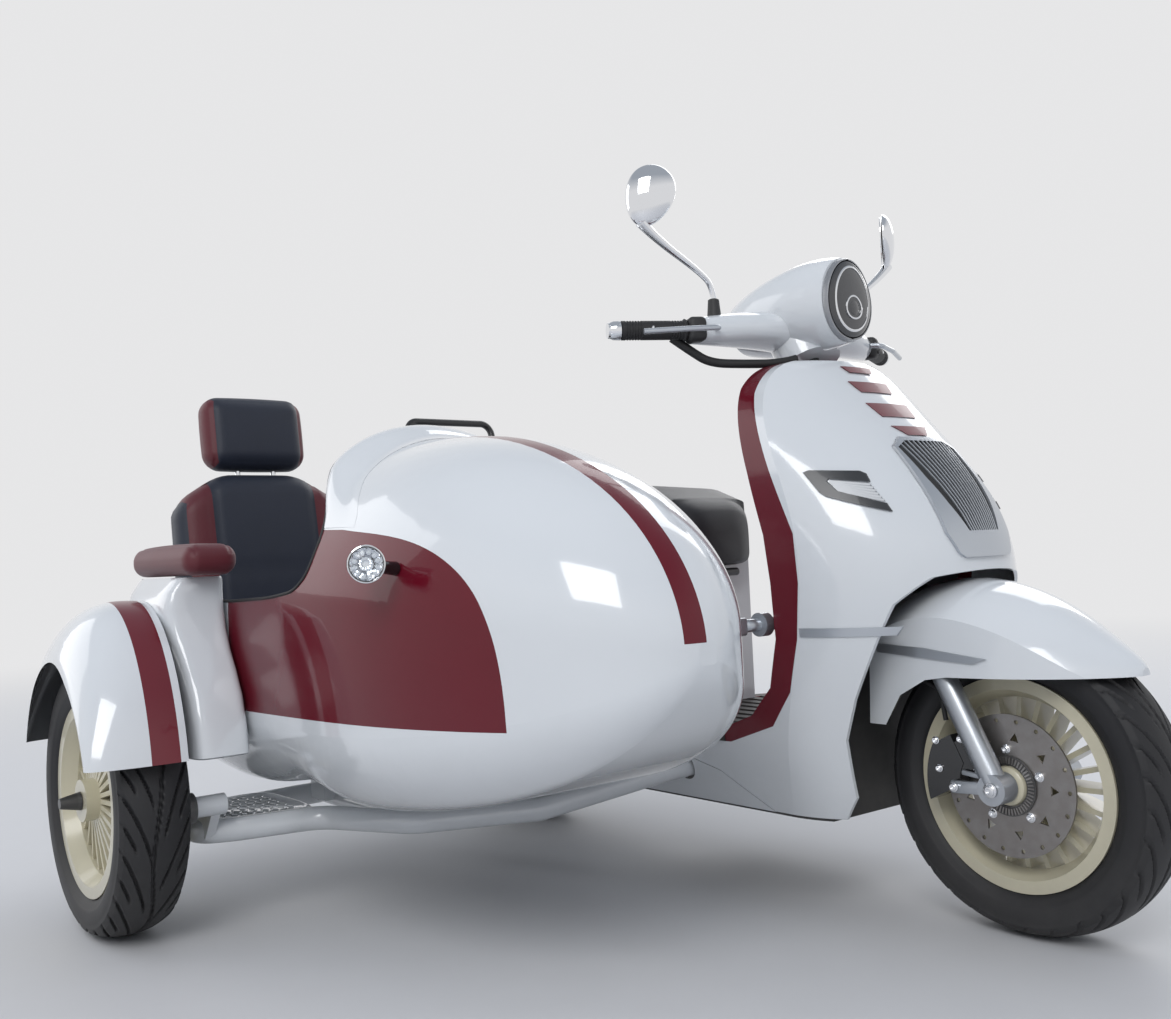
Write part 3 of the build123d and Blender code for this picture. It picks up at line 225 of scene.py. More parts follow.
BLACK_PLASTIC = material("black_plastic", (0.022, 0.022, 0.023), 0.55, grain=1100.0, bump=0.35, wear=0.3,
                         wear_colour=(0.09, 0.09, 0.09), dust=0.35)
GREY_TRIM = material("grey_trim", (0.30, 0.31, 0.33), 0.32, metallic=0.55, coat=0.4, grain=1500.0,
                     bump=0.08, wear=0.2)
GLOSS_BLACK = material("gloss_black", (0.010, 0.010, 0.011), 0.16, coat=0.8, grain=300.0, bump=0.03)
LEATHER_BLACK = material("leather_black", (0.014, 0.014, 0.018), 0.46, leather=420.0, bump=0.35, wear=0.4,
                         wear_colour=(0.06, 0.06, 0.065), variation=0.12, sheen=0.12)
LEATHER_NAVY = material("leather_navy", (0.009, 0.014, 0.030), 0.46, leather=420.0, bump=0.35, wear=0.4,
                        wear_colour=(0.035, 0.045, 0.075), variation=0.12, sheen=0.10)
LEATHER_RED = material("leather_red", (0.10, 0.006, 0.014), 0.44, leather=420.0, bump=0.35, wear=0.4,
                       wear_colour=(0.20, 0.03, 0.04), variation=0.12, sheen=0.12)
SMOKE = material("smoked_lens", (0.035, 0.036, 0.040), 0.10, coat=1.0, grain=260.0, bump=0.08)
MIRROR_GLASS = material("mirror_glass", (0.75, 0.77, 0.80), 0.02, metallic=1.0, grain=30.0, bump=0.005,
                        variation=0.01, roughness_spread=0.02)
WINKER_LENS = material("winker_lens", (0.030, 0.032, 0.036), 0.30, coat=0.25, grain=700.0, bump=0.25)
WHITE_PLASTIC = material("white_plastic", (0.62, 0.63, 0.64), 0.35, grain=900.0, bump=0.15)


def clear_glass():
    """Clear lens glass with faint waves."""
    made = bpy.data.materials.new("lamp_glass")
    made.use_nodes = True
    tree = made.node_tree
    shader = tree.nodes["Principled BSDF"]
    shader.inputs["Base Color"].default_value = (0.96, 0.98, 1.0, 1)
    shader.inputs["Roughness"].default_value = 0.02
    shader.inputs["Transmission Weight"].default_value = 1.0
    shader.inputs["IOR"].default_value = 1.45
    waves = noise(tree, Scale=90.0, Detail=2.0)
    bumped = add_node(tree, "ShaderNodeBump", [("Height", waves)], Strength=0.05, Distance=0.0005)
    tree.links.new(bumped.outputs[0], shader.inputs["Normal"])
    return made


GLASS = clear_glass()


def painted_inner_shade(made, centre, shade_colour):
    """Paints the faces that look toward a wheel's axle in a darker colour, as painted shade for a fender's
    inside.
    """
    tree = made.node_tree
    shader = tree.nodes["Principled BSDF"]
    old = shader.inputs["Base Color"].links[0].from_socket
    geometry = add_node(tree, "ShaderNodeNewGeometry")
    away = add_node(tree, "ShaderNodeVectorMath", [(0, geometry.outputs["Position"])], operation="SUBTRACT")
    away.inputs[1].default_value = centre
    faces = add_node(tree, "ShaderNodeVectorMath",
                     [(0, geometry.outputs["True Normal"]), (1, away.outputs[0])], operation="DOT_PRODUCT")
    # the faces toward the axle get the painted shade colour
    shaded_inside = math_node(tree, "LESS_THAN", faces.outputs["Value"], -0.02)
    tree.links.new(mix_colour(tree, shaded_inside, old, shade_colour), shader.inputs["Base Color"])
    coat = add_node(tree, "ShaderNodeMapRange", [("Value", shaded_inside)], To_Min=1.0, To_Max=0.05)
    tree.links.new(coat.outputs[0], shader.inputs["Coat Weight"])
    return made


def white_paint(name):
    """The white body paint."""
    return material(name, (0.70, 0.725, 0.75), 0.14, coat=1.0, grain=900.0, bump=0.05, distance=0.0002,
                    dust=0.25, dust_top=0.45, variation=0.012, roughness_spread=0.06)


WHITE = white_paint("white_paint")
# the last colour given to each fender is painted shade for its inside
FRONT_FENDER_WHITE = painted_inner_shade(white_paint("front_fender_white"), at(0, 0, WHEEL_RADIUS),
                               (0.012, 0.012, 0.013))
SIDE_FENDER_WHITE = painted_inner_shade(white_paint("side_fender_white"), at(*SIDECAR_WHEEL, WHEEL_RADIUS),
                              (0.085, 0.088, 0.092))
LANE_HALF_PITCH, LANE_HALF_WIDTH = 0.021, 0.008


def floor_mat():
    """Black rubber with dark red lanes between its ribs."""
    made = material("floor_mat", (0.022, 0.022, 0.023), 0.55, grain=1100.0, bump=0.35, dust=0.35)
    tree = made.node_tree
    shader = tree.nodes["Principled BSDF"]
    old = shader.inputs["Base Color"].links[0].from_socket
    place = add_node(tree, "ShaderNodeTexCoord")
    split = add_node(tree, "ShaderNodeSeparateXYZ", [("Vector", place.outputs["Object"])])
    across = math_node(tree, "SUBTRACT", split.outputs["Y"], SCOOTER_Y * MM)
    red = math_node(tree, "LESS_THAN", math_node(tree, "PINGPONG", across, LANE_HALF_PITCH), LANE_HALF_WIDTH)
    tree.links.new(mix_colour(tree, red, old, (0.11, 0.008, 0.014)), shader.inputs["Base Color"])
    return made


FLOOR_MAT = floor_mat()

NODE_FINISHES = (
    (TYRE, "front_tyre rear_tyre sidecar_tyre"),
    (CREAM, "front_rim rear_rim sidecar_rim"),
    (STEEL, "brake_disc"),
    (SILVER, "fork fender_strips grille_surround side_trims upper_strut levers"),
    (BLACK_METAL, "steering_yoke frame seat_hinge sidecar_arm muffler rear_shock rack"),
    (WHITE, "leg_shield floor_skirts rear_body tub armrest_post sidecar_frame step_plate headset"),
    (FRONT_FENDER_WHITE, "front_fender"),
    (SIDE_FENDER_WHITE, "sidecar_fender"),
    (RED, "inner_shield red_panels tail_lamp"),
    (RED_DECAL, "nose_slats fender_stripe"),
    (BLACK_PLASTIC, "grille under_tray seat_bucket rear_mudguard"),
    (WINKER_LENS, "front_winkers"),
    (FLOOR_MAT, "floorboard"),
    (LEATHER_BLACK, "saddle seat_cushion seat_back headrest"),
    (LEATHER_RED, "armrest_pad"),
    (CHROME, "turn_lamp handlebar mirrors"),
    (RUBBER, "grips brake_hose"),
    (GLOSS_BLACK, "headlight caliper"),
    (CAST, "engine"),
)
for finish, names in NODE_FINISHES:
    for name in names.split():
        node = nodes[name]
        if not node.data.materials:
            node.data.materials.append(finish)
        for slot in node.material_slots:
            slot.material = finish
        node.data.shade_smooth()
        node.data.set_sharp_from_angle(angle=radians(28))

# Mesh building blocks


def finish_piece(name, mesh, finish, body, angle=32.0, swaps=()):
    """Turns a bmesh into a shown piece that rides on a body and may stand for CAD nodes."""
    bmesh.ops.recalc_face_normals(mesh, faces=mesh.faces)
    data = bpy.data.meshes.new(name)
    mesh.to_mesh(data)
    mesh.free()
    for one in finish if isinstance(finish, list) else [finish]:
        data.materials.append(one)
    data.shade_smooth()
    data.set_sharp_from_angle(angle=radians(angle))
    piece = bpy.data.objects.new(name, data)
    bpy.context.scene.collection.objects.link(piece)
    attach(piece, body)
    if swaps:
        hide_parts(*swaps)
    return piece


def lathe(mesh, profile, centre, axis, steps=64, index=0):
    """Adds a turned form; profile points are (along the axis, radius) in millimetres."""
    axis = Vector(axis).normalized()
    out = axis.orthogonal().normalized()
    before = set(mesh.faces)
    points = [mesh.verts.new(centre + (axis * along + out * radius) * MM) for along, radius in profile]
    line = [mesh.edges.new(pair) for pair in zip(points, points[1:])]
    bmesh.ops.spin(mesh, geom=points + line, cent=centre, axis=axis, dvec=(0, 0, 0), angle=tau, steps=steps,
                   use_merge=True)
    bmesh.ops.remove_doubles(mesh, verts=mesh.verts, dist=SAME_POINT)
    for face in set(mesh.faces) - before:
        face.material_index = index


def block(mesh, centre, size, turn=None, bevel=0.0, index=0, segments=2):
    """Adds a box with rounded edges; size and bevel are in millimetres."""
    stretched = Matrix.Diagonal((size[0] * MM, size[1] * MM, size[2] * MM, 1.0))
    placed = Matrix.Translation(centre) @ (turn or Matrix.Identity(3)).to_4x4() @ stretched
    made = bmesh.ops.create_cube(mesh, size=1.0, matrix=placed)
    edges = list({edge for vert in made["verts"] for edge in vert.link_edges})
    faces = {face for vert in made["verts"] for face in vert.link_faces}
    if bevel:
        cut = bmesh.ops.bevel(mesh, geom=edges, offset=bevel * MM, offset_type="OFFSET", affect="EDGES",
                              segments=segments, profile=0.5, material=-1)
        faces = {f for f in faces if f.is_valid} | set(cut["faces"])
    for face in faces:
        face.material_index = index


def stack(mesh, rings, hollow=False):
    """Joins rings of equally many points, and caps both ends or closes the rings into a hoop."""
    loops = []
    for ring in rings:
        verts = [mesh.verts.new(point) for point in ring]
        loops.append([mesh.edges.new((verts[i], verts[i - 1])) for i in range(len(verts))])
    for one, two in zip(loops, loops[1:] + loops[:1] if hollow else loops[1:]):
        bmesh.ops.bridge_loops(mesh, edges=one + two)
    for loop in () if hollow else (loops[0], loops[-1]):
        bmesh.ops.edgeloop_fill(mesh, edges=loop)


def squared(value, power):
    """Pushes a sine or cosine toward -1 and 1, which makes a rounded box out of a circle."""
    return abs(value) ** power * (1 if value > 0 else -1)


def rod(name, points, radius, finish, body, taper=None, order=3):
    """A round bar along a smooth line through places given in metres; radius is in millimetres."""
    curve = bpy.data.curves.new(name, "CURVE")
    curve.dimensions = "3D"
    curve.bevel_depth = radius * MM
    curve.bevel_resolution = 5
    curve.use_fill_caps = True
    spline = curve.splines.new("NURBS")
    spline.points.add(len(points) - 1)
    for i, (knot, place) in enumerate(zip(spline.points, points)):
        knot.co = (*place, 1.0)
        knot.radius = taper[i] if taper else 1.0
    spline.order_u = min(order, len(points))
    spline.use_endpoint_u = True
    spline.resolution_u = 10
    carrier = bpy.data.objects.new(name + "_line", curve)
    data = bpy.data.meshes.new_from_object(carrier)
    bpy.data.objects.remove(carrier)
    mesh = bmesh.new()
    mesh.from_mesh(data)
    bpy.data.meshes.remove(data)
    bmesh.ops.remove_doubles(mesh, verts=mesh.verts, dist=SAME_POINT)
    finish_piece(name, mesh, finish, body)


def smoothstep(low, high, value):
    """0 below low, 1 above high, with a soft change between them."""
    t = min(1.0, max(0.0, (value - low) / (high - low)))
    return t * t * (3 - 2 * t)


RAY_START = 0.6  # metres out from a middle line, where the rays toward it start
PATCH_GAP = 0.0002  # metres between a surface and the layer over it


def skin_of(*names):
    """A surface for rays, made of CAD nodes."""
    verts, faces = [], []
    for name in names:
        first = len(verts)
        verts += [nodes[name].matrix_world @ vert.co for vert in nodes[name].data.vertices]
        faces += [[first + i for i in face.vertices] for face in nodes[name].data.polygons]
    return BVHTree.FromPolygons(verts, faces)


def skin_patch(mesh, grid):
    """A raised layer over a surface; grid rows hold (point, direction, height) in metres."""
    top = [[mesh.verts.new(place + out * height) for place, out, height in row] for row in grid]
    under = [[mesh.verts.new(place + out * PATCH_GAP) for place, out, height in row] for row in grid]
    rows, columns = len(grid), len(grid[0])
    quads = []
    for i in range(rows - 1):
        for j in range(columns - 1):
            quads.append((top[i][j], top[i + 1][j], top[i + 1][j + 1], top[i][j + 1]))
            quads.append((under[i][j], under[i][j + 1], under[i + 1][j + 1], under[i + 1][j]))
    edge = ([(0, j) for j in range(columns)] + [(i, columns - 1) for i in range(1, rows)]
            + [(rows - 1, j) for j in range(columns - 2, -1, -1)] + [(i, 0) for i in range(rows - 2, 0, -1)])
    for (a, b), (c, d) in zip(edge, edge[1:] + edge[:1]):
        quads.append((top[a][b], top[c][d], under[c][d], under[a][b]))
    for quad in quads:
        mesh.faces.new(quad)


def between(table, value):
    """Reads a table of (key, result) pairs with straight lines between its rows."""
    for (low, first), (high, second) in zip(table, table[1:]):
        if value <= high:
            return first + (second - first) * max(0.0, value - low) / (high - low)
    return table[-1][1]


# Tyres with their tread

BEAD_RADIUS = 152.6
RIM_FLANGE_RADIUS = 166.2
RIM_HALF_WIDTH = 44.4
TREAD_REPEATS = 15
TREAD_DEPTH = 5.5
TREAD_STEPS = 576
TREAD_HALF_WIDTH = 53.0
TREAD_INNER_RADIUS = 214.0
CROWN_DROP = 13.0
CROWN_STEPS = 28
wheel_places = {"front": (0.0, 0.0), "rear": (-1350.0, 0.0), "sidecar": SIDECAR_WHEEL}


def tyre_profile():
    """Half of the tyre's section from crown to bead as (side, radius), then mirrored."""
    half = [(0.0, WHEEL_RADIUS)]
    for i in range(1, CROWN_STEPS + 1):
        share = i / CROWN_STEPS
        half.append((TREAD_HALF_WIDTH * share, WHEEL_RADIUS - CROWN_DROP * share ** 2.2))
    half += [(56.2, 216.4), (57.3, 214.9), (57.6, 213.4), (57.2, 212.2), (58.6, 206.0), (59.0, 197.0),
             (58.2, 188.0), (57.0, 183.5), (56.4, 182.6), (55.8, 181.6), (53.2, 175.0), (49.0, 169.5),
             (RIM_HALF_WIDTH, RIM_FLANGE_RADIUS), (RIM_HALF_WIDTH, BEAD_RADIUS)]
    return [(-side, radius) for side, radius in half[:0:-1]] + half


def groove(turn, across):
    """Depth of the tread at a turn round the tyre and a place across it, from -1 to 1."""
    wide = abs(across)
    if wide > 1.12:
        return 0.0
    repeat = turn / tau * TREAD_REPEATS
    sweep = 1.5 * max(0.0, wide - 0.12) ** 0.75
    phase = repeat - sweep + (0.5 if across > 0 else 0.0)
    width = 0.095 - 0.035 * wide
    deep = []
    for shift, start, stop in ((0.0, 0.12, 1.0), (0.5, 0.60, 0.98)):
        offset = abs(phase + shift - round(phase + shift))
        deep.append((1 - smoothstep(width * 0.5, width, offset)) * smoothstep(start, start + 0.11, wide)
                    * (1 - smoothstep(stop, stop + 0.12, wide)))
    wave = 0.14 * sin(tau * repeat / 3)
    middle = 1 - smoothstep(0.035, 0.065, abs(across - wave))
    return max(deep + [middle])


def build_tyre(name, x, y):
    """A tyre with swept grooves cut into its tread."""
    mesh = bmesh.new()
    centre = at(x, y, WHEEL_RADIUS)
    lathe(mesh, tyre_profile(), centre, (0, 1, 0), steps=TREAD_STEPS)
    for vert in mesh.verts:
        place = vert.co - centre
        radius = hypot(place.x, place.z)
        if radius > TREAD_INNER_RADIUS * MM:
            cut = groove(atan2(place.z, place.x), place.y / (TREAD_HALF_WIDTH * MM)) * TREAD_DEPTH * MM
            vert.co = centre + place - Vector((place.x, 0, place.z)) / radius * cut
    bmesh.ops.bridge_loops(mesh, edges=[edge for edge in mesh.edges if edge.is_boundary])
    finish_piece(name + "_tyre_tread", mesh, TYRE, name + "_wheel", angle=40.0, swaps=[name + "_tyre"])


for wheel, (x, y) in wheel_places.items():
    build_tyre(wheel, x, y)

# Front brake: bolts, slotted ring and hub cover

DISC_Y = -60.0
BOLT_CIRCLE, RING_SLOT_CIRCLE = 56.0, 39.5
AXLE_END_Y = 111.3
OUTWARD = (0, -1, 0)


def bolt_head(mesh, place, axis, radius, height):
    """Adds a round bolt head with a washer face and a socket."""
    profile = [(0.0, 0.0), (0.0, radius * 1.25), (height * 0.25, radius * 1.25), (height * 0.3, radius),
               (height * 0.85, radius), (height, radius * 0.8), (height, radius * 0.5),
               (height * 0.45, radius * 0.5), (height * 0.45, 0.0)]
    lathe(mesh, profile, place, axis, steps=24)


mesh = bmesh.new()
hub = at(0, DISC_Y, WHEEL_RADIUS)
for i in range(5):
    turn = radians(20 + 72 * i)
    bolt_head(mesh, hub + Vector((cos(turn), 0, sin(turn))) * BOLT_CIRCLE * MM, OUTWARD, 6.0, 6.0)
finish_piece("disc_bolts", mesh, CHROME, "front_wheel")

mesh = bmesh.new()
lathe(mesh, [(0.5, 32.0), (0.5, 46.5), (3.4, 46.5), (3.4, 32.0), (0.5, 32.0)], hub, OUTWARD, steps=96)
for i in range(48):
    turn = radians(7.5 * i)
    spot = hub + Vector((cos(turn) * RING_SLOT_CIRCLE, -4.2, sin(turn) * RING_SLOT_CIRCLE)) * MM
    block(mesh, spot, (10.0, 1.8, 2.4), Matrix.Rotation(-turn, 3, "Y"), index=1)
finish_piece("sensor_ring", mesh, [BLACK_METAL, STEEL], "front_wheel")

mesh = bmesh.new()
lathe(mesh, [(0.5, 17.0), (0.5, 31.0), (7.0, 29.0), (11.0, 24.0), (12.0, 17.0), (0.5, 17.0)], hub, OUTWARD)
finish_piece("hub_cover", mesh, CREAM, "front_wheel")

# Fork foot: axle bolts, lug with its bolt, caliper pins

mesh = bmesh.new()
for hand in (-1, 1):
    bolt_head(mesh, at(0, hand * AXLE_END_Y, WHEEL_RADIUS), (0, hand, 0), 9.0, 7.0)
finish_piece("axle_bolts", mesh, CHROME, "steering")
mesh = bmesh.new()
lathe(mesh, [(0, 0), (0, 19), (2, 21), (11, 21), (13, 19), (13, 12), (9, 11), (9, 0)],
      at(0, -92, WHEEL_RADIUS), OUTWARD, steps=40)
block(mesh, at(-40, -98, WHEEL_RADIUS - 2.5), (76, 9, 20), Matrix.Rotation(radians(-3.2), 3, "Y"), bevel=3)
block(mesh, at(-30, -94, WHEEL_RADIUS + 16), (60, 6, 8), Matrix.Rotation(radians(6), 3, "Y"), bevel=2)
finish_piece("fork_foot_lug", mesh, SILVER, "steering")
mesh = bmesh.new()
bolt_head(mesh, at(-70, -103.2, WHEEL_RADIUS - 4), OUTWARD, 6.0, 6.0)
finish_piece("lug_bolt", mesh, CHROME, "steering")
mesh = bmesh.new()
for x, z in ((-62, 306), (-104, 256), (-108, 300)):
    bolt_head(mesh, at(x, -90.2, z), OUTWARD, 5.0, 6.0)
finish_piece("caliper_pins", mesh, CHROME, "steering")

# Headlight: bezel, bowl, bright rings, projector and lens

LAMP_X, LAMP_Z = -317.0, 1058.0
LAMP_HALF = (62.0, 75.0)
PROJECTOR_Z = LAMP_Z - 16
PROJECTOR_RADIUS = 18.5


def oval(mesh, rings, half, middle=LAMP_Z, hollow=False):
    """Adds upright ovals facing ahead; rings are (x ahead of the lamp's mouth, scale)."""
    points = []
    for x, scale in rings:
        width, height = half[0] * scale, half[1] * scale
        turns = [tau * i / 56 for i in range(56)]
        points.append([at(LAMP_X + x, cos(turn) * width * (1 - 0.10 * sin(turn)), middle + sin(turn) * height)
                       for turn in turns])
    stack(mesh, points, hollow)


mesh = bmesh.new()
oval(mesh, [(0, 1.0), (7, 1.0), (10, 0.975), (10, 0.945), (6, 0.915), (0, 0.905)], LAMP_HALF, hollow=True)
finish_piece("headlight_bezel", mesh, GREY_TRIM, "steering", swaps=["headlight"])
mesh = bmesh.new()
oval(mesh, [(0, 0.90), (1.5, 0.90), (1.2, 0.70), (0.8, 0.3)], LAMP_HALF)
finish_piece("headlight_bowl", mesh, GLOSS_BLACK, "steering")
mesh = bmesh.new()
oval(mesh, [(10, 1.0), (14.6, 1.0), (15.8, 0.97), (16.2, 0.93), (10, 0.92)], (46.0, 60.0), hollow=True)
oval(mesh, [(14, 1.0), (19.6, 1.0), (20.2, 0.94), (19.6, 0.86), (14, 0.86)], (22.0, 22.0), PROJECTOR_Z,
     hollow=True)
finish_piece("headlight_hoop", mesh, CHROME, "steering")
mesh = bmesh.new()
made = bmesh.ops.create_uvsphere(mesh, u_segments=40, v_segments=24, radius=1.0)
for vert in made["verts"]:
    x, y, z = vert.co
    vert.co = at(LAMP_X + 14.0 + x * 6.6, y * PROJECTOR_RADIUS, PROJECTOR_Z + z * PROJECTOR_RADIUS)
finish_piece("headlight_projector", mesh, SMOKE, "steering")
mesh = bmesh.new()
oval(mesh, [(9.2, 0.02), (9.2, 0.905), (10.2, 0.915), (12.5, 0.87), (15.5, 0.70), (18, 0.44), (18.9, 0.15),
            (19, 0.02)], LAMP_HALF)
finish_piece("headlight_lens", mesh, SMOKE, "steering")

# Instrument at the back of the headset

headset_skin = skin_of("headset")
behind = at(-480, 0, 0).x
dial_hits = [headset_skin.ray_cast(at(-900, 0, z), Vector((1, 0, 0))) for z in range(1020, 1120, 4)]
dial_hits = [hit for hit in dial_hits if hit[0] is not None and hit[1].x < -0.8 and hit[0].x < behind]
dial_at, dial_axis = dial_hits[len(dial_hits) // 2][:2]
mesh = bmesh.new()
lathe(mesh, [(0.3, 34.0), (0.3, 39.0), (3.0, 39.0), (5.0, 37.0), (5.0, 35.0), (3.0, 34.0), (0.3, 34.0)],
      dial_at, dial_axis)
lathe(mesh, [(0.3, 0.0), (0.3, 33.8), (2.0, 33.8), (2.6, 20.0), (2.8, 0.0)], dial_at, dial_axis, index=1)
dial_side = dial_axis.cross(WORLD_Z).normalized()
dial_up = dial_side.cross(dial_axis)
for i in range(11):
    turn = radians(-30 + 24 * i)
    out = dial_side * cos(turn) + dial_up * sin(turn)
    mark = Matrix((out, dial_axis.cross(out), dial_axis)).transposed()
    block(mesh, dial_at + out * 0.026 + dial_axis * 0.0026, (6.0, 1.4, 0.8), mark, index=2)
finish_piece("instrument", mesh, [GREY_TRIM, GLOSS_BLACK, WHITE_PLASTIC], "steering")

# Mirrors

MIRROR_X, MIRROR_Z = -448.0, 1231.0
MIRROR_Y = {"right": 345.0, "left": 290.0}
MIRROR_FOOT_X, MIRROR_FOOT_Y = -461, 190


def egg(y, z, half_y, half_z, x):
    """A place on a mirror's egg-shaped outline, wider toward its top; y and z go from -1 to 1."""
    return Vector((x, y * half_y * (1 + 0.16 * z), z * half_z)) * MM


for hand, label in SIDES:
    centre = at(MIRROR_X, hand * MIRROR_Y[label], MIRROR_Z)
    # a head's own x goes through its back; it faces the rider and leans outward
    turn = Matrix.Rotation(radians(37.0 * hand), 3, "Z") @ Matrix.Rotation(radians(20.0 * hand), 3, "X")
    mesh = bmesh.new()
    made = bmesh.ops.create_uvsphere(mesh, u_segments=48, v_segments=32, radius=1.0)
    for vert in made["verts"]:
        x, y, z = vert.co
        vert.co = centre + turn @ egg(y, z, 42.0, 55.0, x * (22.0 if x > 0 else 4.0))
    finish_piece(label + "_mirror_shell", mesh, CHROME, "steering", angle=60.0,
                 swaps=["mirrors"] if hand < 0 else [])
    mesh = bmesh.new()
    made = bmesh.ops.create_circle(mesh, cap_ends=True, segments=64, radius=1.0)
    for vert in made["verts"]:
        vert.co = centre + turn @ egg(vert.co.x, vert.co.y, 38.0, 50.0, -4.2)
    made = bmesh.ops.extrude_face_region(mesh, geom=mesh.faces[:])
    bmesh.ops.translate(mesh, vec=turn @ Vector((-0.0014, 0, 0)),
                        verts=[v for v in made["geom"] if isinstance(v, bmesh.types.BMVert)])
    finish_piece(label + "_mirror_glass", mesh, MIRROR_GLASS, "steering")
    foot = at(MIRROR_FOOT_X, hand * MIRROR_FOOT_Y, 1066)
    neck = centre + turn @ Vector((6, 0, -50)) * MM
    stem = [foot, foot + Vector((0, hand * 0.002, 0.028)),
            foot.lerp(neck, 0.25) + Vector((0.002, -hand * 0.006, 0.020)), foot.lerp(neck, 0.8), neck]
    rod(label + "_mirror_stem", stem, 6.5, CHROME, "steering", taper=[0.8, 0.8, 0.85, 1.15, 1.5])
    mesh = bmesh.new()
    lathe(mesh, [(0, 0), (0, 13), (22, 11), (34, 10), (36, 7), (36, 0)],
          at(MIRROR_FOOT_X, hand * MIRROR_FOOT_Y, 1034), WORLD_Z, steps=32)
    finish_piece(label + "_mirror_boot", mesh, BLACK_PLASTIC, "steering")

# Grips and switch housings

BAR_END_X, BAR_END_Y, BAR_Z = -525.0, 360.0, 1010.0
GRIP_GROOVES = [*range(-110, -90, 5), *range(-38, -8, 5)]
for hand, label in SIDES:
    axis = Vector((-89, hand * 175, 0)).normalized()
    bar_end = at(BAR_END_X, hand * BAR_END_Y, BAR_Z)
    mesh = bmesh.new()
    grip_line = [(-120, 11.5), (-120, 19), (-117, 20), (-114, 17)]
    for along in GRIP_GROOVES:
        grip_line += [(along, 17.0), (along + 1.2, 16.0), (along + 2.4, 16.0), (along + 3.6, 17.0)]
    grip_line += [(-3, 17), (-2, 16), (-2, 11.5)]
    lathe(mesh, grip_line, bar_end, axis, steps=48)
    finish_piece(label + "_grip", mesh, RUBBER, "steering", swaps=["grips"] if hand == -1 else [])
    mesh = bmesh.new()
    lathe(mesh, [(-2, 0), (-2, 14), (0, 17), (12, 16.5), (18, 14), (20, 8), (20, 0)], bar_end, axis, steps=40)
    finish_piece(label + "_bar_end", mesh, CHROME, "steering")
    mesh = bmesh.new()
    turn = Matrix((axis, WORLD_Z.cross(axis), WORLD_Z)).transposed()
    housing = bar_end - axis * 0.138
    block(mesh, housing, (34, 44, 44), turn, bevel=10, segments=4)
    for place, size in (((0, -23, 6), (14, 4, 9)), ((0, -23, -9), (9, 5, 7))):
        block(mesh, housing + turn @ (Vector(place) * MM), size, turn, bevel=1.5)
    finish_piece(label + "_switch_housing", mesh, BLACK_PLASTIC, "steering")
    mesh = bmesh.new()
    lathe(mesh, [(0, 0), (0, 4), (1.6, 3.4), (2.2, 0)], bar_end - axis * 0.050 + Vector((0.0168, 0, 0.002)),
          (1, -0.2 * hand, 0), steps=20)
    finish_piece(label + "_grip_stud", mesh, CHROME, "steering")
rod("cable_loop", [at(-498, -262, 1000), at(-478, -236, 975), at(-462, -205, 953), at(-430, -150, 950),
                   at(-398, -90, 950), at(-385, -62, 958)], 8.0, RUBBER, "steering")

# Cockpit lip and trim, winker ribs, armrest column, turn lamp and step

tub_skin = skin_of("tub", "red_panels")
COCKPIT_EDGE = [
    # z, x
    (568.0, -980.0), (574.0, -818.0), (584.0, -730.0), (610.0, -690.0), (660.0, -672.0), (700.0, -690.0),
    (764.0, -756.0), (860.0, -806.0),
]
TUB_ROUND_Z, TUB_ROUND = 544.0, 288.0
LIP_SECTION = [
    # distance ahead of the cockpit's edge, height over the tub
    (0.6, 1.5), (1.0, 12.0), (3.0, 19.0), (7.0, 23.0), (13.0, 25.0), (22.0, 25.0), (32.0, 22.5), (42.0, 18.5),
    (52.0, 13.5), (61.0, 8.6), (69.0, 5.0), (77.0, 2.6), (86.0, 1.0), (96.0, 0.3),
]


def cockpit_front(degrees_round):
    """At an angle round the tub: the way out, the cockpit edge's x and the share of the lip's height."""
    turn = radians(degrees_round)
    front = between(COCKPIT_EDGE, TUB_ROUND_Z + TUB_ROUND * sin(turn))
    fade = smoothstep(26, 56, degrees_round) * (1 - smoothstep(124, 154, degrees_round))
    return Vector((0, cos(turn), sin(turn))), front, fade


def tub_place(x, z, out):
    """Where a line from outside toward the tub's middle, at an x and a z, meets the tub."""
    return tub_skin.ray_cast(at(x, TUB_Y, z) + out * RAY_START, -out)[0]


grid = []
for i in range(73):
    out, front, fade = cockpit_front(28.5 + 123 * i / 72)
    grid.append([(tub_place(front + ahead, TUB_ROUND_Z, out), out, (0.3 + height * fade) * MM)
                 for ahead, height in LIP_SECTION])
mesh = bmesh.new()
skin_patch(mesh, grid)
finish_piece("cockpit_lip", mesh, WHITE, "chassis", angle=50.0)

shield_skin = skin_of("leg_shield")
WINKER_RIBS = 6
RIB_SECTION = ((-2.3, 0.4), (-1.6, 1.8), (1.2, 2.0), (2.0, 0.4))  # drop below the rib's line, height


def winker_row(share, hand, section):
    """Rows of a layer along a winker, from its rear to its front, at a share of its height from the top."""
    rear_x, rear_z = -206 + 12 * share, 724 - 18 * share
    front_x, front_z = -160 + 25 * share, 716 - 32 * share
    out = Vector((0, hand, 0))
    rows = []
    for j in range(15):
        x = rear_x + (front_x - rear_x) * j / 14
        z = rear_z + (front_z - rear_z) * j / 14
        rows.append([(shield_skin.ray_cast(at(x, 0, z + drop) + out * RAY_START, -out)[0], out, height * MM)
                     for drop, height in section])
    return rows


for hand, label in SIDES:
    mesh = bmesh.new()
    for i in range(WINKER_RIBS):
        skin_patch(mesh, winker_row((i + 0.5) / WINKER_RIBS, hand, RIB_SECTION))
    finish_piece(label + "_winker_ribs", mesh, WHITE_PLASTIC, "chassis", angle=25.0)
    mesh = bmesh.new()
    skin_patch(mesh, [[row[0] for row in winker_row(i / 4, hand, ((0, 0.9),))] for i in range(5)])
    finish_piece(label + "_winker_base", mesh, GREY_TRIM, "chassis")

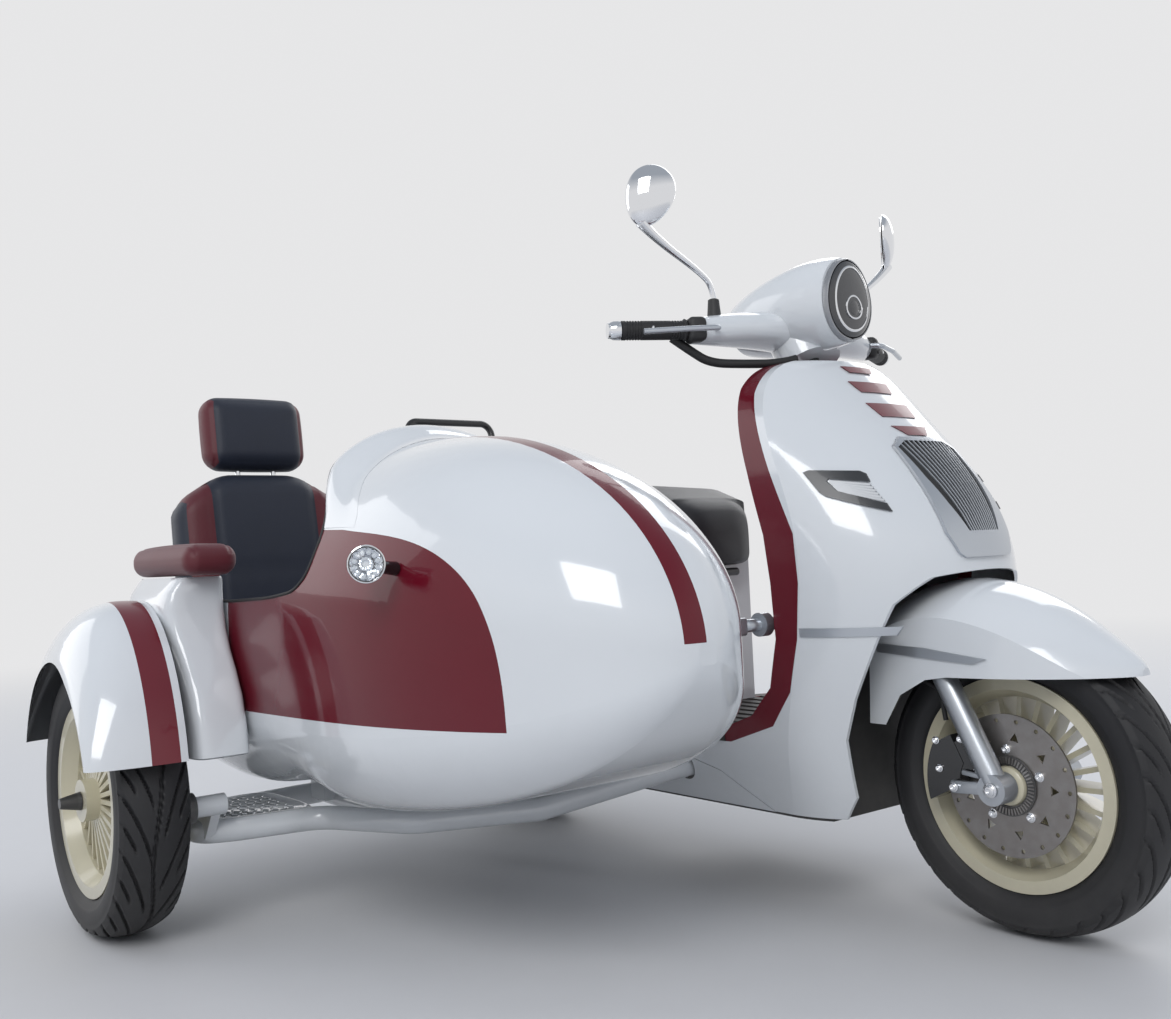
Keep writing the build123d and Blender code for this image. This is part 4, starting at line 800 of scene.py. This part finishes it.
TRIM_FLANK = [(-1440, 567.2), (-1300, 567.0), (-1150, 566.8), (-980, 566.5), (-900, 569.5), (-818, 572.5),
              (-770, 577.5), (-730, 582.5), (-705, 596), (-689, 610), (-679, 635)]
trim_line = [tub_place(x, z, Vector((0, -1, 0))) for x, z in TRIM_FLANK]
for degrees_round in range(154, 24, -6):
    out, front, fade = cockpit_front(degrees_round)
    trim_line.append(tub_place(front + 1, TUB_ROUND_Z, out) + out * 0.004 * fade)
trim_line += [tub_place(x, z, Vector((0, 1, 0))) for x, z in TRIM_FLANK[::-1]]
rod("cockpit_trim", trim_line, 2.6, RUBBER, "chassis")

POST_RINGS = [
    # height, length, outer edge's y, scale
    (311, 416, -1004, 0.985), (314, 420, -1006, 1.0), (360, 404, -1005.5, 1.0), (410, 372, -1004.5, 1.0),
    (450, 322, -1003.5, 1.0), (485, 272, -1005, 1.0), (520, 238, -1011, 1.0), (555, 220, -1016, 1.0),
    (585, 214, -1009, 1.0), (606, 211, -994, 1.0), (612, 209, -990, 0.98),
]
POST_X, POST_INNER_Y, POST_CORNER = -1090, -902.5, 0.28
rings = []
for z, length, outer_y, scale in POST_RINGS:
    middle_y, half_y = (outer_y + POST_INNER_Y) / 2, (POST_INNER_Y - outer_y) / 2
    rings.append([at(POST_X + length / 2 * scale * squared(cos(tau * i / 64), POST_CORNER),
                     middle_y + half_y * scale * squared(sin(tau * i / 64), POST_CORNER), z)
                  for i in range(64)])
mesh = bmesh.new()
stack(mesh, rings)
finish_piece("armrest_column", mesh, WHITE, "chassis", angle=50.0, swaps=["armrest_post"])

LAMP_AT = at(-424, -925, 621)
lamp_axis = Vector((cos(radians(24)), -sin(radians(24)), 0))
mesh = bmesh.new()
lathe(mesh, [(-56, 0), (-55, 5), (-50, 12), (-40, 18.5), (-26, 23), (-10, 25.5), (-3, 26.5), (0, 27),
             (2.5, 26.5), (3, 25), (2, 23.6), (-3, 23), (-8, 12), (-10, 0)], LAMP_AT, lamp_axis, steps=56)
finish_piece("turn_lamp_body", mesh, CHROME, "chassis", swaps=["turn_lamp"])
mesh = bmesh.new()
lathe(mesh, [(-2.5, 0), (-2.5, 22.8), (1.8, 23.4), (5.5, 19), (8, 12), (9.2, 5), (9.4, 0)], LAMP_AT,
      lamp_axis, steps=18)
finish_piece("turn_lamp_lens", mesh, GLASS, "chassis", angle=8.0)
lamp_side = lamp_axis.cross(WORLD_Z)
mesh = bmesh.new()
for i in range(12):
    for ring, size, shift in ((7.0, 3.6, 0.0), (14.5, 4.2, 0.5), (20.0, 3.2, 0.0)):
        turn = tau * (i + shift) / 12
        spot = LAMP_AT + (lamp_side * cos(turn) + WORLD_Z * sin(turn)) * ring * MM - lamp_axis * 0.0045
        lathe(mesh, [(-1.5, 0), (-1.5, size), (0.5, size * 0.8), (1.6, 0)], spot, lamp_axis, steps=6)
finish_piece("turn_lamp_facets", mesh, MIRROR_GLASS, "chassis", angle=5.0)
rod("turn_lamp_stalk", [at(-436, -906, 618), at(-443, -886, 615), at(-449, -866, 613)], 9.5, GLOSS_BLACK,
    "chassis", taper=[0.85, 1.0, 1.1])

STEP_MIDDLE_Y, STEP_HALF_Y, STEP_CORNER = -861.0, 112.5, 0.42
STEP_SECTION = [
    # inset from the outline, z
    (20, 148.5), (9, 150), (3, 154), (0, 161), (-0.8, 168), (0, 175), (3, 183), (8, 188), (13, 189.8),
    (15, 189.3), (17, 187.0),
]


def step_edge(y):
    """The step's middle and half length at a y, both in millimetres."""
    front = -938 - 0.20 * (-750 - y)
    rear = -1207 + 0.12 * (-700 - y)
    return (front + rear) / 2, (front - rear) / 2


rings = []
for inset, z in STEP_SECTION:
    ring = []
    for i in range(72):
        turn = tau * i / 72
        y = STEP_MIDDLE_Y + (STEP_HALF_Y - inset) * squared(sin(turn), STEP_CORNER)
        middle_x, half_x = step_edge(y)
        ring.append(at(middle_x + (half_x - inset) * squared(cos(turn), STEP_CORNER), y, z))
    rings.append(ring)
mesh = bmesh.new()
stack(mesh, rings)
finish_piece("step_slab", mesh, WHITE, "chassis", angle=50.0, swaps=["step_plate"])
TREAD_CORNER, TREAD_INSET = 78, 30
mesh = bmesh.new()
for i in range(12):
    for j in range(13):
        x = -962 - i * 18 - (9 if j % 2 else 0)
        y = -774 - j * 14.5
        middle_x, half_x = step_edge(y)
        corner = hypot(max(0.0, abs(x - middle_x) - half_x + TREAD_CORNER),
                       max(0.0, abs(y - STEP_MIDDLE_Y) - STEP_HALF_Y + TREAD_CORNER))
        if corner > TREAD_CORNER - TREAD_INSET or hypot(x + 1120, y + 950) < 24:
            continue
        turn = Matrix.Rotation(radians(35 if (i + j) % 2 else -35), 3, "Z")
        block(mesh, at(x, y, 187.6), (11, 3.2, 1.6), turn, bevel=0.5, segments=1)
finish_piece("step_treads", mesh, WHITE, "chassis")

# Padded pieces

PAD_CUTS = 30
EULER = 2.718


def pad(name, centre, half, rounding, turn, finishes_of, swaps, crown, seams, shape=None):
    """A stuffed pad of the sidecar: a rounded box with a crowned face and pressed seams.

    half, rounding, crown (on the face, on the sides) and seam depths are in millimetres in the pad's
    own axes. Seams are (axis, place, width, depth) lines on its face, which is its own +Z side.
    finishes_of holds the materials and a function that picks one's index for a point of the pad given
    from -1 to 1. shape moves a point of the finished form.
    """
    mesh = bmesh.new()
    bmesh.ops.create_cube(mesh, size=2.0)
    bmesh.ops.subdivide_edges(mesh, edges=mesh.edges[:], cuts=PAD_CUTS, use_grid_fill=True)
    palette, pick = finishes_of
    for face in mesh.faces:
        face.material_index = pick(face.calc_center_median())
    a, b, c = half
    for vert in mesh.verts:
        u, v, w = vert.co
        point = Vector((u * a, v * b, w * c))
        core = Vector([max(-size + rounding, min(size - rounding, along))
                       for size, along in zip(half, point)])
        away = point - core
        if away.length > 0:
            point = core + away.normalized() * rounding
        bulge = (1 - (point.x / a) ** 2) * (1 - (point.y / b) ** 2)
        if w > 0:
            point.z += crown[0] * max(0.0, bulge) ** 0.7
        sides = (1 - (point.z / c) ** 2) if abs(point.z) < c else 0.0
        if abs(u) > 0.999:
            point.x += crown[1] * sides * (1 - (point.y / b) ** 2) * (1 if u > 0 else -1)
        if abs(v) > 0.999:
            point.y += crown[1] * sides * (1 - (point.x / a) ** 2) * (1 if v > 0 else -1)
        if point.z > c * 0.35:
            for which, place, width, depth in seams:
                gap = (point.x if which == "x" else point.y) - place
                point.z -= depth * EULER ** (-(gap / width) ** 2)
        if shape:
            shape(u, v, point)
        vert.co = centre + (turn @ point) * MM
    piece = finish_piece(name, mesh, palette, "chassis", angle=60.0, swaps=swaps)


NAVY_AND_RED = [LEATHER_NAVY, LEATHER_RED]


def side_bands(low, high):
    """Picks the second finish for two bands up the sides of a pad."""
    return lambda p: 1 if low < abs(p.x) < high and p.z > -0.9 else 0


def round_shoulders(u, v, point):
    """Drops the two upper corners of the seat back into a dome."""
    point.y -= 58 * smoothstep(0.30, 1.05, abs(u)) ** 1.2 * smoothstep(0.1, 1.0, v)


flat = Matrix.Identity(3)
pad("seat_cushion_pad", at(-1200, TUB_Y, 375.5), (199, 219, 62), 46, flat,
    (NAVY_AND_RED, lambda p: 1 if abs(p.y) > 0.68 else 0), ["seat_cushion"], crown=(13.0, 2.0),
    seams=[("y", -150, 6, 6), ("y", 150, 6, 6), ("x", 60, 6, 4), ("x", -60, 6, 4)])
LEAN = radians(8.0)
back_normal = Vector((cos(LEAN), 0, sin(LEAN)))
back_up = Vector((-sin(LEAN), 0, cos(LEAN)))
back_across = Vector((0, 1, 0))
back_turn = Matrix((back_across, back_up, back_normal)).transposed()
back_foot = at(-1406, TUB_Y, 300.3)


def back_place(across, along, out):
    """A place on the leaning seat back, given in millimetres from the middle of its foot, in metres."""
    return back_foot + (back_across * across + back_up * along + back_normal * out) * MM


pad("seat_back_pad", back_place(0, 282, -52), (196, 262, 44), 40, back_turn,
    (NAVY_AND_RED, side_bands(0.60, 0.93)), ["seat_back"], crown=(12.0, 1.0),
    seams=[("x", -118, 6, 8), ("x", 118, 6, 8), ("y", 40, 6, 2), ("y", -80, 6, 2)],
    shape=round_shoulders)
for hand, label in SIDES:
    ends = [back_place(hand * 42, 528, -50), back_place(hand * 42, 572, -50)]
    rod(label + "_headrest_post", ends, 6.0, CHROME, "chassis", order=2)
pad("headrest_pad", back_place(0, 639, -50), (116, 82, 38), 36, back_turn,
    (NAVY_AND_RED, lambda p: 1 if abs(p.x) > 0.90 else 0), ["headrest"], crown=(7.0, 3.0),
    seams=[("x", -101, 3, 3), ("x", 101, 3, 3)])
pad("armrest_cushion", at(-1085, -943, 640.5), (148, 47, 26), 24, flat,
    ([LEATHER_RED], lambda p: 0), ["armrest_pad"], crown=(5.0, 1.0),
    seams=[("y", -30, 3, 2), ("y", 30, 3, 2)])

saddle_rings = [
    # x, half width, low, top
    (-652, 44, 593, 660), (-664, 80, 588, 698), (-690, 106, 586, 719), (-699, 108, 601, 722),
    (-702, 109, 701, 724), (-780, 131, 707, 751), (-950, 149, 712, 769), (-1130, 155, 717, 775),
    (-1300, 151, 726, 805), (-1460, 125, 739, 817), (-1530, 96, 749, 811), (-1549, 82, 756, 802),
]
rings = []
for x, wide, low, top in saddle_rings:
    middle, tall = (low + top) / 2, (top - low) / 2
    ring = []
    for i in range(40):
        turn = tau * i / 40
        ring.append(at(x, wide * squared(cos(turn), 0.45),
                       middle + tall * squared(sin(turn), 0.75 if sin(turn) > 0 else 0.3)))
    rings.append(ring)
mesh = bmesh.new()
stack(mesh, rings)
long_edges = [edge for edge in mesh.edges if abs(edge.verts[0].co.x - edge.verts[1].co.x) > 0.03]
bmesh.ops.subdivide_edges(mesh, edges=long_edges, cuts=6, smooth=0.0)
saddle = finish_piece("saddle_pad", mesh, LEATHER_BLACK, "saddle_lid", angle=50.0, swaps=["saddle"])

# Camera, floor and light

CAMERA_AT = at(1085.2, -1723.7, 620.5)
CAMERA_YAW = radians(141.742)
CAMERA_PITCH = radians(2.1416)
CAMERA_ROLL = radians(-2.5498)
CAMERA_LENS = 37.203

forward = Vector((cos(CAMERA_PITCH) * cos(CAMERA_YAW), cos(CAMERA_PITCH) * sin(CAMERA_YAW),
                  sin(CAMERA_PITCH)))
level_right = forward.cross(WORLD_Z).normalized()
level_up = level_right.cross(forward)
right = level_right * cos(CAMERA_ROLL) + level_up * sin(CAMERA_ROLL)
up = level_up * cos(CAMERA_ROLL) - level_right * sin(CAMERA_ROLL)
camera_data = bpy.data.cameras.new("camera")
camera_data.lens = CAMERA_LENS
camera_data.sensor_width = 36.0
camera_data.sensor_fit = "HORIZONTAL"
camera = bpy.data.objects.new("camera", camera_data)
scene = bpy.context.scene
scene.collection.objects.link(camera)
camera.matrix_world = Matrix.Translation(CAMERA_AT) @ Matrix((right, up, -forward)).transposed().to_4x4()
scene.camera = camera

floor_mesh = bmesh.new()
bmesh.ops.create_grid(floor_mesh, x_segments=2, y_segments=2, size=40.0)
floor_data = bpy.data.meshes.new("floor")
floor_mesh.to_mesh(floor_data)
floor_mesh.free()
floor = bpy.data.objects.new("floor", floor_data)
scene.collection.objects.link(floor)
floor_finish = material("floor", (0.62, 0.62, 0.63), 0.6, grain=3.0, bump=0.02, variation=0.02)
BACKDROP = (1.06, 1.06, 1.06 * 1.01, 1)
SKY_MIDDLE = (0.50, 0.54, 0.60, 1)
WORLD_STRENGTH = 0.75


def seen_rays(tree):
    """1 for the rays that see the backdrop: from the camera, off metal and paint, and through glass."""
    path = add_node(tree, "ShaderNodeLightPath")
    first = math_node(tree, "MAXIMUM", path.outputs["Is Camera Ray"], path.outputs["Is Glossy Ray"])
    return math_node(tree, "MAXIMUM", first, path.outputs["Is Transmission Ray"])


def set_stops(ramp, low, high):
    """Sets a new colour ramp's two stops, each (position, colour)."""
    for stop, (position, colour) in zip(ramp.color_ramp.elements, (low, high)):
        stop.position = position
        stop.color = colour


floor_tree = floor_finish.node_tree
place = add_node(floor_tree, "ShaderNodeTexCoord")
reach = add_node(floor_tree, "ShaderNodeVectorMath", [(0, place.outputs["Object"])], operation="LENGTH")
far = add_node(floor_tree, "ShaderNodeMapRange", [("Value", reach.outputs["Value"])],
               interpolation_type="SMOOTHSTEP", From_Min=1.5, From_Max=8.0)
share = math_node(floor_tree, "MULTIPLY", far.outputs[0], seen_rays(floor_tree))
plain = add_node(floor_tree, "ShaderNodeEmission", Strength=WORLD_STRENGTH, Color=BACKDROP)
joined = add_node(floor_tree, "ShaderNodeMixShader", [(0, share), (2, plain.outputs[0])])
floor_tree.links.new(floor_tree.nodes["Principled BSDF"].outputs[0], joined.inputs[1])
floor_tree.links.new(joined.outputs[0], floor_tree.nodes["Material Output"].inputs["Surface"])
floor_data.materials.append(floor_finish)


def area_light(name, place, target, size, power):
    """A soft square lamp aimed at a point."""
    data = bpy.data.lights.new(name, "AREA")
    data.size = size
    data.energy = power
    lamp = bpy.data.objects.new(name, data)
    scene.collection.objects.link(lamp)
    lamp.location = place
    lamp.rotation_mode = "QUATERNION"
    lamp.rotation_quaternion = (Vector(target) - Vector(place)).to_track_quat("-Z", "Y")


area_light("key", (3.5, -4.0, 4.5), (0.0, 0.0, 0.5), 3.0, 150.0)
area_light("fill", (-4.5, -3.5, 3.0), (0.0, 0.0, 0.5), 4.0, 55.0)
area_light("back", (-2.0, 5.0, 4.5), (0.0, 0.0, 0.6), 4.0, 100.0)

world = bpy.data.worlds.new("studio")
scene.world = world
world.use_nodes = True
sky = world.node_tree
direction = add_node(sky, "ShaderNodeTexCoord")
height = add_node(sky, "ShaderNodeSeparateXYZ", [("Vector", direction.outputs["Generated"])])
ramp = add_node(sky, "ShaderNodeValToRGB", [("Fac", height.outputs["Z"])])
set_stops(ramp, (0.02, (0.17, 0.18, 0.20, 1)), (0.62, (0.92, 0.97, 1.06, 1)))
ramp.color_ramp.elements.new(0.22).color = SKY_MIDDLE
backdrop_ramp = add_node(sky, "ShaderNodeValToRGB", [("Fac", height.outputs["Z"])])
set_stops(backdrop_ramp, (0.42, BACKDROP), (0.75, SKY_MIDDLE))
background = sky.nodes["Background"]
seen_sky = mix_colour(sky, seen_rays(sky), ramp.outputs[0], backdrop_ramp.outputs[0])
sky.links.new(seen_sky, background.inputs["Color"])
background.inputs["Strength"].default_value = WORLD_STRENGTH
scene.view_settings.view_transform = "Standard"
